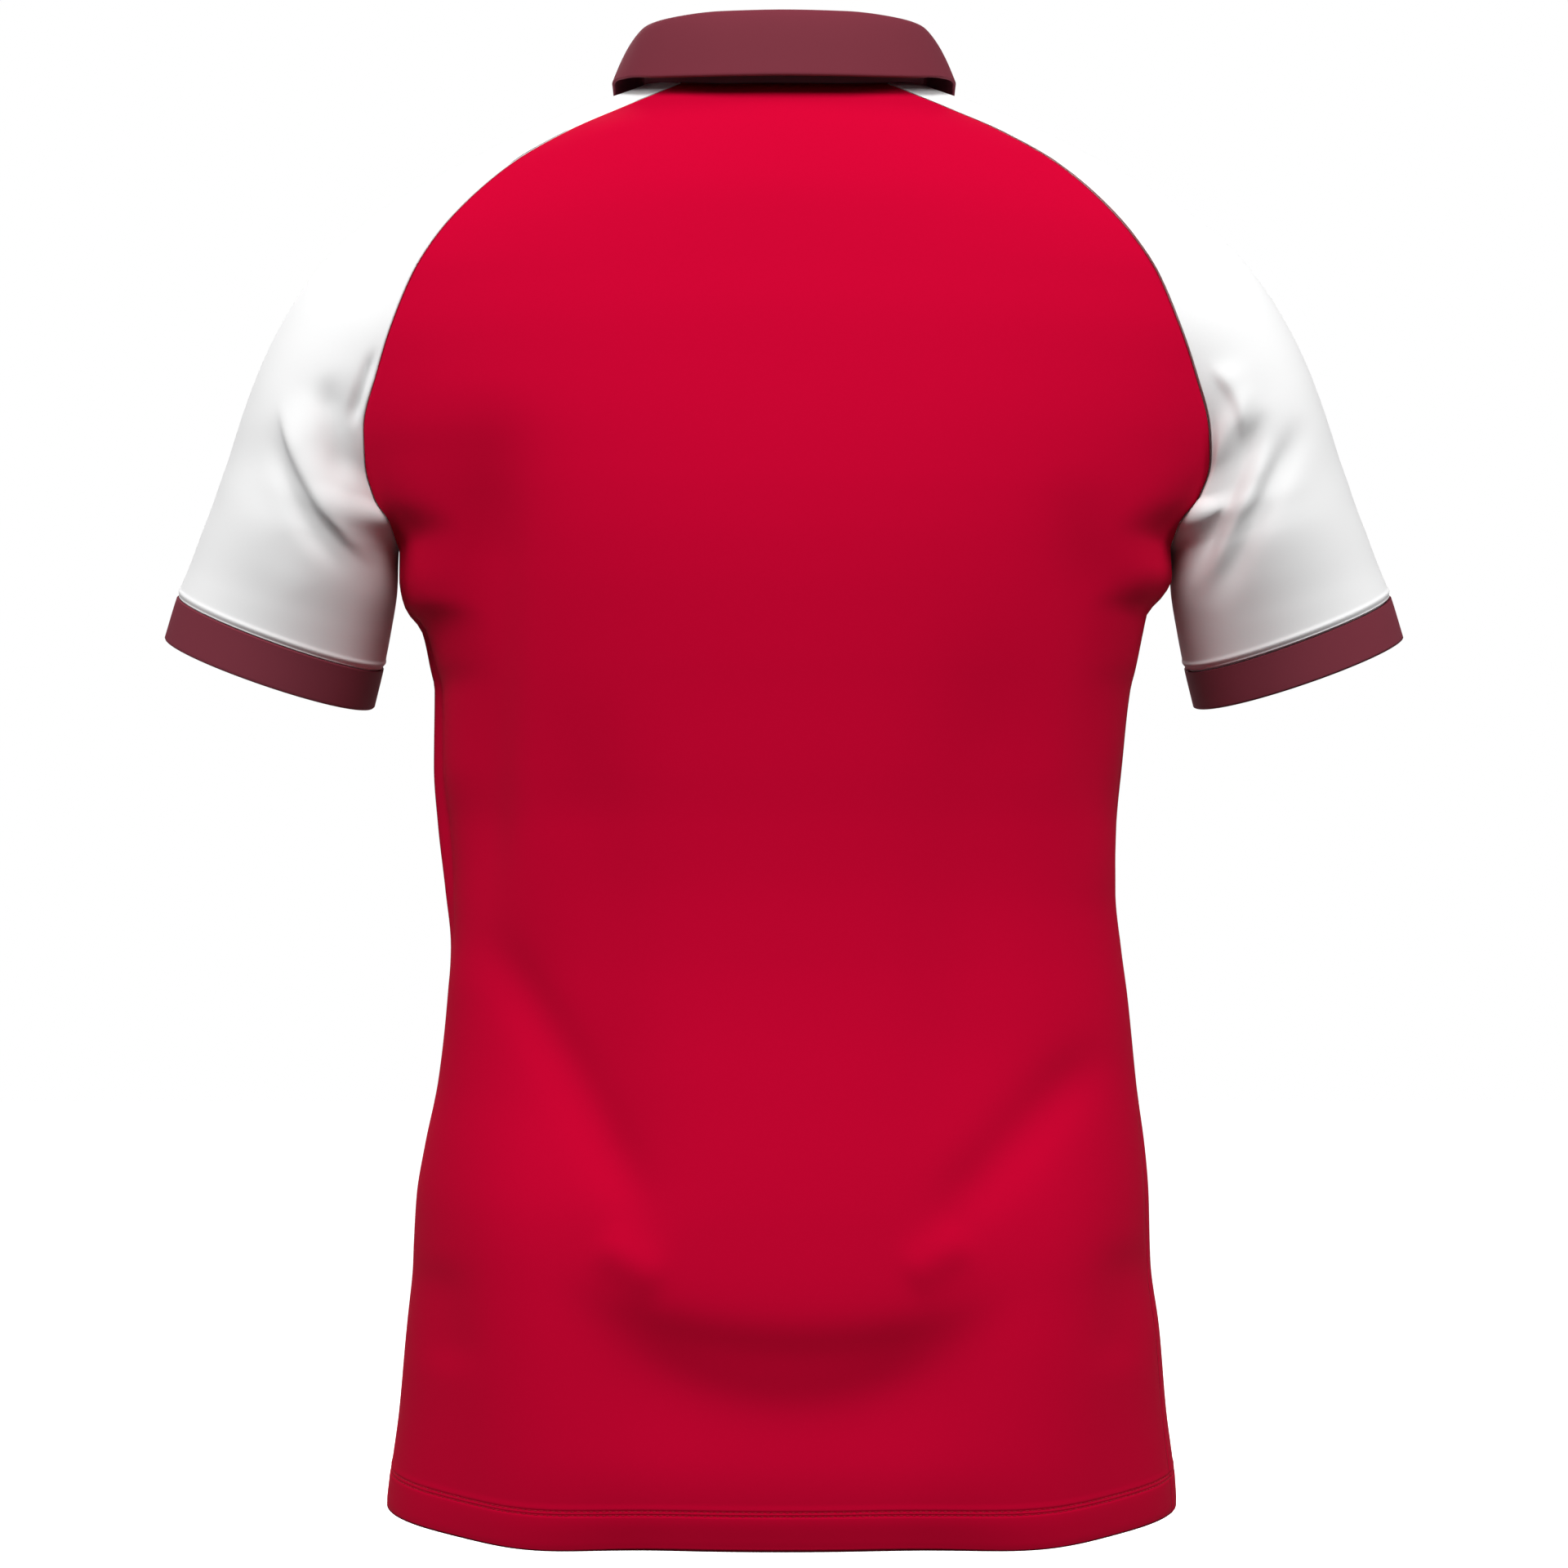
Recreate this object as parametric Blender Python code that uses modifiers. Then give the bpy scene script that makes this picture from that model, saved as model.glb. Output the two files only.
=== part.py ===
"""Short-sleeved polo shirt with raglan sleeves, filled out as it is worn and open at neck, cuffs and hem.

Metres, +Z up. The front faces -Y and +X is the wearer's left. The origin is the middle of the neck
opening, level with the point where each shoulder line meets the neck, which is where a wearer holds it up.
"""

import math

import bmesh
import bpy
import numpy as np

# Cloth and seams
CLOTH = 0.0014  # knitted body cloth
RIB = 0.0017  # knitted collar and cuffs
SEAM_GAP = 0.0003  # left between two pieces at a seam

# Lengths along the garment
HEM = -0.720
UNDERARM = -0.236
NECK_BACK = -0.007  # height of the back neckline at its raglan seams
NECK_FRONT = -0.028  # height of the front neckline at its raglan seams
NECK_DIP = 0.042  # how far the front neckline drops to its centre
DIP_FROM = -0.170  # where the front panel's rows start to bend down to that neckline

# Placket and buttons
PLACKET_FOOT = 8.6  # station of the placket's lower end
PLACKET_HALF = 0.0165
PLACKET_RAISED = CLOTH + SEAM_GAP + 0.0004
PLACKET_TOP = 0.04  # station of its upper end
SLASH_HALF = 0.0145
SLASH_STATION = 8  # station of the sleeve seam at whose height the slash under the placket ends
BUTTON_HEIGHTS = (-0.088, -0.140, -0.192)
BUTTON_RADIUS = 0.0057
BUTTON_RIM = 0.0011
BUTTON_THICK = 0.0026

# Cloth colours
RED = (0.45, 0.002, 0.024)
WHITE = (0.86, 0.86, 0.86)
MAROON = (0.135, 0.024, 0.032)


class Table:
    """Rows of named columns. Between rows each column runs smoothly and never overshoots them."""

    def __init__(self, names, rows):
        self.names = names.split()
        self.rows = np.array(sorted(rows), float)

    def read(self, name, at):
        xs = self.rows[:, 0]
        ys = self.rows[:, self.names.index(name)]
        at = np.clip(np.asarray(at, float), xs[0], xs[-1])
        steps = np.diff(xs)
        rises = np.diff(ys) / steps
        slopes = np.zeros(len(xs))
        slopes[0], slopes[-1] = rises[0], rises[-1]
        for i in range(1, len(xs) - 1):
            if rises[i - 1] * rises[i] > 0:
                slopes[i] = 2 * rises[i - 1] * rises[i] / (rises[i - 1] + rises[i])
        i = np.clip(np.searchsorted(xs, at, side="right") - 1, 0, len(xs) - 2)
        t = (at - xs[i]) / steps[i]
        stay = ys[i] * (1 + 2 * t) * (1 - t) ** 2 + ys[i + 1] * t * t * (3 - 2 * t)
        turn = slopes[i] * t * (1 - t) ** 2 - slopes[i + 1] * t * t * (1 - t)
        return stay + turn * steps[i]


# Torso sections: half widths to the wearer's left and right, depths of back and front, and how round
# each corner is (0.5 is an ellipse, less is boxier). Above the underarm the widths reach into the arms.
TORSO = Table(
    "z left right back front back_left back_right front_round",
    (
        (-0.720, 0.2020, 0.1995, 0.1195, 0.1180, 0.475, 0.475, 0.47),
        (-0.705, 0.2002, 0.1985, 0.1222, 0.1202, 0.470, 0.470, 0.46),
        (-0.672, 0.1956, 0.1943, 0.1240, 0.1220, 0.460, 0.460, 0.45),
        (-0.630, 0.1918, 0.1906, 0.1242, 0.1222, 0.455, 0.455, 0.45),
        (-0.597, 0.1885, 0.1860, 0.1235, 0.1215, 0.450, 0.450, 0.45),
        (-0.563, 0.1864, 0.1847, 0.1215, 0.1195, 0.450, 0.450, 0.45),
        (-0.538, 0.1822, 0.1826, 0.1190, 0.1175, 0.450, 0.450, 0.45),
        (-0.505, 0.1756, 0.1789, 0.1150, 0.1145, 0.450, 0.450, 0.45),
        (-0.463, 0.1714, 0.1747, 0.1105, 0.1115, 0.460, 0.450, 0.45),
        (-0.438, 0.1701, 0.1714, 0.1090, 0.1108, 0.470, 0.450, 0.45),
        (-0.409, 0.1730, 0.1685, 0.1085, 0.1108, 0.485, 0.440, 0.450),
        (-0.376, 0.1768, 0.1697, 0.1095, 0.1118, 0.485, 0.425, 0.440),
        (-0.346, 0.1789, 0.1726, 0.1115, 0.1135, 0.464, 0.405, 0.422),
        (-0.307, 0.1785, 0.1768, 0.1140, 0.1160, 0.412, 0.391, 0.378),
        (-0.2966, 0.1806, 0.1793, 0.1148, 0.1168, 0.405, 0.390, 0.378),
        (-0.277, 0.1851, 0.1830, 0.1160, 0.1182, 0.400, 0.382, 0.378),
        (-0.268, 0.1920, 0.1850, 0.1165, 0.1188, 0.420, 0.380, 0.404),
        (-0.2624, 0.1945, 0.1906, 0.1168, 0.1192, 0.428, 0.400, 0.410),
        (-0.2507, 0.1963, 0.1970, 0.1172, 0.1198, 0.412, 0.414, 0.398),
        (-0.236, 0.1962, 0.1962, 0.1174, 0.1202, 0.385, 0.385, 0.374),
        (-0.2145, 0.2120, 0.2135, 0.1168, 0.1202, 0.415, 0.415, 0.40),
        (-0.197, 0.2220, 0.2250, 0.1155, 0.1190, 0.430, 0.430, 0.425),
        (-0.178, 0.2320, 0.2330, 0.1135, 0.1165, 0.440, 0.440, 0.44),
        (-0.153, 0.2410, 0.2410, 0.1100, 0.1110, 0.460, 0.460, 0.46),
        (-0.129, 0.2460, 0.2460, 0.1060, 0.1040, 0.480, 0.480, 0.49),
        (-0.105, 0.2470, 0.2470, 0.1005, 0.0935, 0.515, 0.515, 0.52),
        (-0.085, 0.2370, 0.2370, 0.0955, 0.0800, 0.540, 0.540, 0.55),
        (-0.068, 0.2180, 0.2180, 0.0905, 0.0675, 0.565, 0.565, 0.57),
        (-0.047, 0.1860, 0.1860, 0.0815, 0.0540, 0.600, 0.600, 0.60),
        (-0.031, 0.1500, 0.1500, 0.0730, 0.0450, 0.620, 0.620, 0.60),
        (-0.020, 0.1160, 0.1160, 0.0655, 0.0400, 0.620, 0.620, 0.60),
        (-0.007, 0.0840, 0.0840, 0.0570, 0.0360, 0.620, 0.620, 0.60),
    ),
)

# Raglan seams, as half widths of each panel from the underarm up to the neck
BACK_SEAM = Table(
    "z left right",
    (
        (-0.236, 0.1962, 0.1962),
        (-0.2265, 0.1965, 0.1967),
        (-0.2130, 0.2038, 0.2062),
        (-0.197, 0.2075, 0.2110),
        (-0.181, 0.2073, 0.2098),
        (-0.155, 0.2000, 0.2020),
        (-0.130, 0.1918, 0.1930),
        (-0.105, 0.1815, 0.1825),
        (-0.086, 0.1700, 0.1705),
        (-0.068, 0.1550, 0.1555),
        (-0.0475, 0.1325, 0.1330),
        (-0.032, 0.1080, 0.1080),
        (-0.020, 0.0845, 0.0845),
        (-0.007, 0.0515, 0.0515),
    ),
)
FRONT_SEAM = Table(
    "z x",
    (
        (-0.236, 0.1962),
        (-0.215, 0.1935),
        (-0.185, 0.1860),
        (-0.148, 0.1710),
        (-0.112, 0.1495),
        (-0.080, 0.1230),
        (-0.052, 0.0930),
        (-0.028, 0.0600),
    ),
)

# How far each side seam turns to the back of the widest point, in degrees round the section
SIDE_TURN = Table(
    "z left right",
    ((-0.720, -4, 13), (-0.600, -4, 12), (-0.500, -3, 7), (-0.430, 0, 2), (-0.380, 0, 0), (-0.236, 0, 0)),
)

# Neckline from centre back (0) round the wearer's left to centre front (1)
BACK_CORNER, SHOULDER, FRONT_CORNER = 0.27, 0.50, 0.72
NECKLINE = Table(
    "at x y z",
    (
        (-0.14, -0.0285, 0.0535, -0.0095),
        (0.00, 0.0000, 0.0570, -0.0100),
        (0.14, 0.0285, 0.0535, -0.0095),
        (0.27, 0.0505, 0.0440, -0.0070),
        (0.38, 0.0648, 0.0265, -0.0030),
        (0.50, 0.0710, 0.0040, 0.0000),
        (0.61, 0.0685, -0.0200, -0.0120),
        (0.72, 0.0590, -0.0380, -0.0280),
        (0.86, 0.0335, -0.0580, -0.0540),
        (1.00, 0.0000, -0.0680, -0.0700),
        (1.14, -0.0335, -0.0580, -0.0540),
    ),
)

# Sleeve stations from the neck (0) past the underarm (10) and the cuff seam (13) to the cuff's edge (14).
# x, y, z run down the outside of the arm and inner_x, inner_y, inner_z down its inside, which above the
# underarm is hidden in the body. back_z and front_z say where a station meets each raglan seam. out and
# reach are the lengths of the handles that shape a half ring, free is how far it is a ring and no longer
# lies on the torso's surface, lift is how deep it bulges and tilt leans it as the arm swings forward.
UNDERARM_STATION, CUFF_STATION, CUFF_EDGE = 10.0, 13.0, 14.0
SLEEVE = Table(
    "k x y z back_z front_z inner_x inner_y inner_z out reach free lift tilt",
    (
        (0, 0.0710, 0.0040, 0.0000, -0.0070, -0.0280, 0.1650, 0.020, -0.1200, 0.022, 0.012, 0.00, 0.080, 0.00),
        (1, 0.1050, 0.0040, -0.0130, -0.0205, -0.0460, 0.1650, 0.020, -0.1200, 0.022, 0.014, 0.00, 0.080, 0.00),
        (2, 0.1450, 0.0030, -0.0325, -0.0390, -0.0660, 0.1650, 0.020, -0.1200, 0.026, 0.016, 0.00, 0.080, 0.00),
        (3, 0.1815, 0.0020, -0.0515, -0.0620, -0.0900, 0.1650, 0.020, -0.1200, 0.031, 0.019, 0.00, 0.080, 0.01),
        (4, 0.2110, 0.0000, -0.0695, -0.0920, -0.1170, 0.1650, 0.020, -0.1200, 0.036, 0.023, 0.02, 0.090, 0.02),
        (5, 0.2365, -0.0030, -0.0920, -0.1240, -0.1440, 0.1740, 0.018, -0.1430, 0.043, 0.027, 0.10, 0.100, 0.04),
        (6, 0.2550, -0.0060, -0.1180, -0.1540, -0.1690, 0.1810, 0.015, -0.1630, 0.051, 0.030, 0.28, 0.105, 0.06),
        (7, 0.2680, -0.0090, -0.1430, -0.1800, -0.1900, 0.1860, 0.012, -0.1820, 0.059, 0.030, 0.54, 0.098, 0.08),
        (8, 0.2775, -0.0120, -0.1665, -0.2020, -0.2080, 0.1905, 0.008, -0.2005, 0.066, 0.024, 0.82, 0.087, 0.10),
        (9, 0.2855, -0.0150, -0.1890, -0.2200, -0.2225, 0.1940, 0.004, -0.2185, 0.0705, 0.014, 0.96, 0.080, 0.11),
        (9.5, 0.2893, -0.0163, -0.1988, -0.2300, -0.2305, 0.1955, 0.002, -0.2275, 0.072, 0.010, 0.99, 0.079, 0.115),
        (10, 0.2928, -0.0175, -0.2082, -0.2360, -0.2360, 0.1967, 0.000, -0.2363, 0.073, 0.007, 1.00, 0.079, 0.12),
        (11, 0.3000, -0.0200, -0.2255, -0.2360, -0.2360, 0.1985, -0.007, -0.2555, 0.0745, 0.003, 1.0, 0.0765, 0.12),
        (12, 0.3067, -0.0220, -0.2420, -0.2360, -0.2360, 0.2030, -0.016, -0.2760, 0.0745, 0.000, 1.0, 0.0745, 0.12),
        (13, 0.3130, -0.0235, -0.2564, -0.2360, -0.2360, 0.2078, -0.023, -0.2957, 0.0742, 0.000, 1.0, 0.0742, 0.12),
        (14, 0.3200, -0.0260, -0.2774, -0.2360, -0.2360, 0.2130, -0.026, -0.3155, 0.0748, 0.000, 1.0, 0.0748, 0.12),
    ),
)

# Soft folds, as lines x0 z0 x1 z1 bow width height seen from behind or in front. bow pushes a line's
# middle sideways, a positive height is a ridge and a negative one a trough.
BACK_FOLDS = (
    (0.150, -0.490, 0.068, -0.562, 0.004, 0.017, -0.0042),
    (0.128, -0.545, 0.050, -0.600, 0.006, 0.022, 0.0026),
    (-0.140, -0.500, -0.078, -0.563, -0.005, 0.020, -0.0026),
    (-0.120, -0.555, -0.052, -0.600, -0.006, 0.022, 0.0020),
    (0.086, -0.583, -0.094, -0.590, 0.022, 0.017, 0.0050),
    (0.098, -0.602, -0.106, -0.610, 0.034, 0.018, -0.0044),
    (0.101, -0.340, 0.094, -0.535, 0.008, 0.024, -0.0026),
    (-0.100, -0.300, -0.086, -0.545, -0.006, 0.026, -0.0026),
    (0.168, -0.285, 0.118, -0.400, 0.010, 0.020, -0.0036),
    (-0.172, -0.270, -0.140, -0.380, -0.008, 0.018, -0.0032),
    (0.186, -0.236, 0.130, -0.290, 0.004, 0.013, 0.0022),
    (-0.190, -0.236, -0.136, -0.285, -0.004, 0.013, 0.0024),
    (0.168, -0.590, 0.160, -0.640, 0.000, 0.014, -0.0020),
    (-0.166, -0.580, -0.158, -0.640, 0.000, 0.014, -0.0020),
)
FRONT_FOLDS = (
    (0.150, -0.300, 0.060, -0.420, 0.010, 0.022, -0.0034),
    (-0.154, -0.290, -0.070, -0.400, -0.010, 0.020, -0.0030),
    (0.140, -0.470, 0.050, -0.560, 0.008, 0.020, -0.0032),
    (-0.136, -0.480, -0.044, -0.555, -0.008, 0.022, -0.0030),
    (0.090, -0.585, -0.080, -0.592, 0.020, 0.019, 0.0040),
    (0.104, -0.612, -0.096, -0.615, 0.026, 0.019, -0.0034),
    (0.110, -0.350, 0.100, -0.520, 0.006, 0.026, -0.0022),
    (-0.112, -0.340, -0.098, -0.530, -0.006, 0.026, -0.0022),
    (0.186, -0.236, 0.140, -0.276, 0.004, 0.013, 0.0022),
    (-0.186, -0.236, -0.140, -0.278, -0.004, 0.013, 0.0022),
)
LEFT_SLEEVE_BACK_FOLDS = (
    (0.2420, -0.1600, 0.2060, -0.2520, -0.010, 0.0120, -0.0050),
    (0.2270, -0.1600, 0.1960, -0.2480, -0.008, 0.0120, 0.0034),
)
RIGHT_SLEEVE_BACK_FOLDS = (
    (0.2260, -0.1600, 0.2010, -0.2320, 0.006, 0.0120, 0.0036),
    (0.2420, -0.1650, 0.2130, -0.2480, 0.006, 0.0120, -0.0038),
)
SLEEVE_FRONT_FOLDS = (
    (0.2380, -0.1500, 0.2060, -0.2460, -0.008, 0.0130, -0.0036),
)
FOLD_MARGIN = 0.012  # folds die out this near a seam

# Collar: fold line and outer edge, from centre back (0) to the front end (1), out and up from the neckline
FRONT_END = 0.985
COLLAR = Table(
    "at crest_out crest_up edge_out edge_along edge_up bend",
    (
        (-0.14, 0.0055, 0.0342, 0.0145, 0.000, 0.0005, 0.60),
        (0.00, 0.0055, 0.0345, 0.0145, 0.000, 0.0005, 0.60),
        (0.14, 0.0055, 0.0342, 0.0145, 0.000, 0.0005, 0.60),
        (0.27, 0.0052, 0.0315, 0.0150, 0.001, 0.0000, 0.62),
        (0.38, 0.0046, 0.0275, 0.0158, 0.002, 0.0010, 0.68),
        (0.50, 0.0040, 0.0215, 0.0168, 0.003, 0.0005, 0.74),
        (0.61, 0.0048, 0.0225, 0.0185, 0.002, -0.0050, 0.68),
        (0.72, 0.0056, 0.0245, 0.0225, 0.000, -0.0145, 0.60),
        (0.86, 0.0056, 0.0250, 0.0280, -0.012, -0.0280, 0.58),
        (1.00, 0.0052, 0.0240, 0.0290, -0.040, -0.0390, 0.58),
    ),
)
FOLD_HALF = 0.0045  # half the width of the collar's fold
LEAF_SWELL = 0.0012  # how far the leaf's middle stands out


def spread(*stops):
    """Values from first to last stop, with the given number of even steps between each two stops."""
    values = [stops[0]]
    for steps, end in zip(stops[1::2], stops[2::2]):
        values += list(np.linspace(values[-1], end, steps + 1)[1:])
    return np.array(values)


def ramp(x, low, high):
    """0 below low and 1 above high, with a smooth rise between."""
    t = np.clip((x - low) / (high - low), 0, 1)
    return t * t * (3 - 2 * t)


def neckline(at):
    """Point of the neckline. Negative places run round the wearer's right."""
    at = np.asarray(at, float)
    side = np.where(at < 0, -1.0, 1.0)
    points = [NECKLINE.read(axis, np.abs(at)) for axis in ("x", "y", "z")]
    return np.stack([points[0] * side, points[1], points[2]], axis=-1)


def torso_back(x, z):
    """Depth of the torso's back surface at x, z."""
    left = x >= 0
    width = np.where(left, TORSO.read("left", z), TORSO.read("right", z))
    power = np.where(left, TORSO.read("back_left", z), TORSO.read("back_right", z))
    return TORSO.read("back", z) * np.clip(1 - (x / width) ** 2, 0, 1) ** power


def torso_front(x, z):
    """Depth of the torso's front surface at x, z, as a negative y."""
    width = np.where(x >= 0, TORSO.read("left", z), TORSO.read("right", z))
    share = np.clip(1 - (x / width) ** 2, 0, 1)
    return -TORSO.read("front", z) * share ** TORSO.read("front_round", z)


def seam_angle(z, side, front):
    """Angle round the section, from centre back or front, at which a panel's edge lies."""
    width = TORSO.read("left" if side > 0 else "right", z)
    column = "left" if side > 0 else "right"
    seam = FRONT_SEAM.read("x", z) if front else BACK_SEAM.read(column, z)
    above = np.arcsin(np.clip(seam / width, 0, 1))
    turn = np.radians(SIDE_TURN.read(column, z))
    below = np.pi / 2 + (turn if front else -turn)
    return np.where(z > UNDERARM, above, below)


def edge_height(k, front):
    """Height of a body panel's edge at station k: 0 at the neck, 10 at the underarm, 11 at the hem."""
    seam = SLEEVE.read("front_z" if front else "back_z", k)
    return np.where(k < UNDERARM_STATION, seam, UNDERARM + (k - UNDERARM_STATION) * (HEM - UNDERARM))


def row_height(k, u, front):
    """Height of a body panel's row, evenly spaced in the middle and on the seam's stations at the edge."""
    edge = edge_height(k, front)
    top = NECK_FRONT if front else NECK_BACK
    even = top + (UNDERARM - top) * k / UNDERARM_STATION
    middle = np.where(k < UNDERARM_STATION, even, edge)
    height = middle + (edge - middle) * np.abs(u) ** 3
    if front:
        height = height - NECK_DIP * ramp(height, DIP_FROM, NECK_FRONT) * np.maximum(1 - u * u, 0) ** 1.3
    return height


def torso_points(k, u, front):
    """Points of the torso's back or front at station k. u runs from -1 at one edge to 1 at the other."""
    edge = edge_height(k, front)
    z = row_height(k, u, front)
    side = np.where(u >= 0, 1.0, -1.0)
    angle = np.where(u >= 0, seam_angle(edge, 1, front), seam_angle(edge, -1, front)) * np.abs(u)
    spread_width = np.where(u >= 0, TORSO.read("left", edge), TORSO.read("right", edge))
    x = side * spread_width * np.sin(angle)
    width = np.where(u >= 0, TORSO.read("left", z), TORSO.read("right", z))
    share = np.clip(1 - (x / width) ** 2, 0, 1)
    over = np.cos(angle) < 0  # past the widest point, on the other half of the section
    sides = np.where(u >= 0, TORSO.read("back_left", z), TORSO.read("back_right", z))
    behind = TORSO.read("back", z) * share**sides
    before = -TORSO.read("front", z) * share ** TORSO.read("front_round", z)
    y = np.where(over, behind, before) if front else np.where(over, before, behind)
    return np.stack([x, y, z], axis=-1)


def back_panel(k, u):
    """Back panel, drawn at the top onto the neckline."""
    points = torso_points(k, u, False)
    top = torso_points(0 * k, u, False)
    pull = (1 - ramp(k, 0, 3))[..., None]
    return points + pull * (neckline(BACK_CORNER * u) - top)


def front_panel(k, u):
    """Front panel, drawn at the top onto the neckline."""
    points = torso_points(k, u, True)
    top = torso_points(0 * k, u, True)
    pull = (1 - ramp(k, 0, 3))[..., None]
    places = np.where(u < 0, -1.0, 1.0) * (1 - (1 - FRONT_CORNER) * np.abs(u))
    return points + pull * (neckline(places) - top)


def half_ring(k, along, side, front):
    """Points of half a sleeve ring, from the outside of the arm (0) to its seam or inside line (1)."""
    y_sign = -1.0 if front else 1.0

    def track(x, y, z):
        return np.stack([SLEEVE.read(x, k) * side, SLEEVE.read(y, k), SLEEVE.read(z, k)], axis=-1)

    outer = track("x", "y", "z")
    inside = track("inner_x", "inner_y", "inner_z")
    seam = (front_panel if front else back_panel)(k, np.full_like(k, side))
    free = SLEEVE.read("free", k)[..., None]
    reach = SLEEVE.read("reach", k)[..., None]
    end = seam + (inside - seam) * free
    across = (outer - end) * np.array([1.0, 0.0, 1.0])
    across /= np.linalg.norm(across, axis=-1, keepdims=True)
    step = 0.004
    surface = torso_front if front else torso_back
    here = surface(seam[..., 0], seam[..., 2])
    there = surface(seam[..., 0] + across[..., 0] * step, seam[..., 2] + across[..., 2] * step)
    slope = np.clip((there - here) / step * y_sign, -1.4, 0.2)[..., None]
    lift = slope * reach * (1 - free) + SLEEVE.read("lift", k)[..., None] * free
    lean = np.stack([0 * k, 0 * k + 1.0, -SLEEVE.read("tilt", k)], axis=-1) * y_sign
    ring = (outer, outer + lean * SLEEVE.read("out", k)[..., None], end + across * reach + lean * lift, end)

    # the ring is cut where it comes nearest to the seam and drawn onto it
    marks = np.linspace(0.3, 1.0, 29)
    gaps = [np.linalg.norm(bezier(ring, mark) - seam, axis=-1) for mark in marks]
    cut = marks[np.argmin(gaps, axis=0)][..., None]
    for _ in range(5):
        pace = (bezier(ring, cut + 0.001) - bezier(ring, cut - 0.001)) / 0.002
        miss = ((seam - bezier(ring, cut)) * pace).sum(axis=-1, keepdims=True)
        cut = np.clip(cut + miss / (pace * pace).sum(axis=-1, keepdims=True), 0.3, 1.0)
    meets = (k < UNDERARM_STATION)[..., None]
    cut = np.where(meets, cut, 1.0)
    miss = np.where(meets, seam - bezier(ring, cut), 0.0)
    return bezier(ring, cut * along[..., None]) + miss * along[..., None] ** 3


def bezier(points, t):
    a, b, c, d = points
    return a * (1 - t) ** 3 + 3 * b * t * (1 - t) ** 2 + 3 * c * t * t * (1 - t) + d * t**3


def sleeve_surface(side):
    """Sleeve surface. w runs from -1 at the back seam over the arm's outside to 1 at the front seam."""

    def ring(k, w):
        back = half_ring(k, np.abs(w), side, False)
        front = half_ring(k, np.abs(w), side, True)
        return np.where((w <= 0)[..., None], back, front)

    def surface(k, w):
        span = np.where(w <= 0, SHOULDER - BACK_CORNER, FRONT_CORNER - SHOULDER)
        places = (SHOULDER + w * span) * side
        pull = (1 - ramp(k, 0, 1.6))[..., None]
        return ring(k, w) + pull * (neckline(places) - ring(np.zeros_like(k), w))

    return surface


def fold_height(folds, x, z):
    """Sum of the folds at x, z, seen flat from behind or in front."""
    total = np.zeros(np.broadcast(x, z).shape)
    for x0, z0, x1, z1, bow, width, height in folds:
        run = np.array([x1 - x0, z1 - z0])
        length = np.hypot(*run)
        run /= length
        along = ((x - x0) * run[0] + (z - z0) * run[1]) / length
        across = -(x - x0) * run[1] + (z - z0) * run[0]
        bend = bow * np.clip(4 * along * (1 - along), 0, 1)
        fade = ramp(along, 0, 0.35) * ramp(1 - along, 0, 0.35)
        total += height * fade * np.exp(-(((across + bend) / width) ** 2))
    return total


def lay(surface, rows, columns, step, outward):
    """Points and unit normals of a surface on a grid. step is how far to look along each direction."""
    points = surface(rows, columns)
    along = surface(rows + step[0], columns) - surface(rows - step[0], columns)
    across = surface(rows, columns + step[1]) - surface(rows, columns - step[1])
    normals = np.cross(along, across)
    normals /= np.maximum(np.linalg.norm(normals, axis=-1, keepdims=True), 1e-12)
    if (normals * outward(points)).sum() < 0:
        normals = -normals
    return points, normals


def edge_calm(points):
    """0 at the side edges of a grid and 1 where folds may have their full height."""
    left = np.linalg.norm(points - points[:, :1], axis=-1)
    right = np.linalg.norm(points - points[:, -1:], axis=-1)
    return ramp(np.minimum(left, right), 0.0, FOLD_MARGIN)


def drawn_in(points, top=True, foot=True, sides=True):
    """The grid with its edges drawn in by half the seam gap."""
    points = points.copy()
    half = SEAM_GAP / 2
    for edge, inner, wanted in ((0, 1, foot), (-1, -2, top)):
        if wanted:
            step = points[inner] - points[edge]
            points[edge] += step * half / np.linalg.norm(step, axis=-1, keepdims=True)
    if sides:
        for edge, inner in ((0, 1), (-1, -2)):
            step = points[:, inner] - points[:, edge]
            points[:, edge] += step * half / np.linalg.norm(step, axis=-1, keepdims=True)
    return points


def clear_scene():
    for obj in list(bpy.data.objects):
        bpy.data.objects.remove(obj, do_unlink=True)


def cloth_material(name, colour, roughness):
    material = bpy.data.materials.new(name)
    material.use_nodes = True
    shader = material.node_tree.nodes["Principled BSDF"]
    shader.inputs["Base Color"].default_value = (*colour, 1.0)
    shader.inputs["Roughness"].default_value = roughness
    return material


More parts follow.
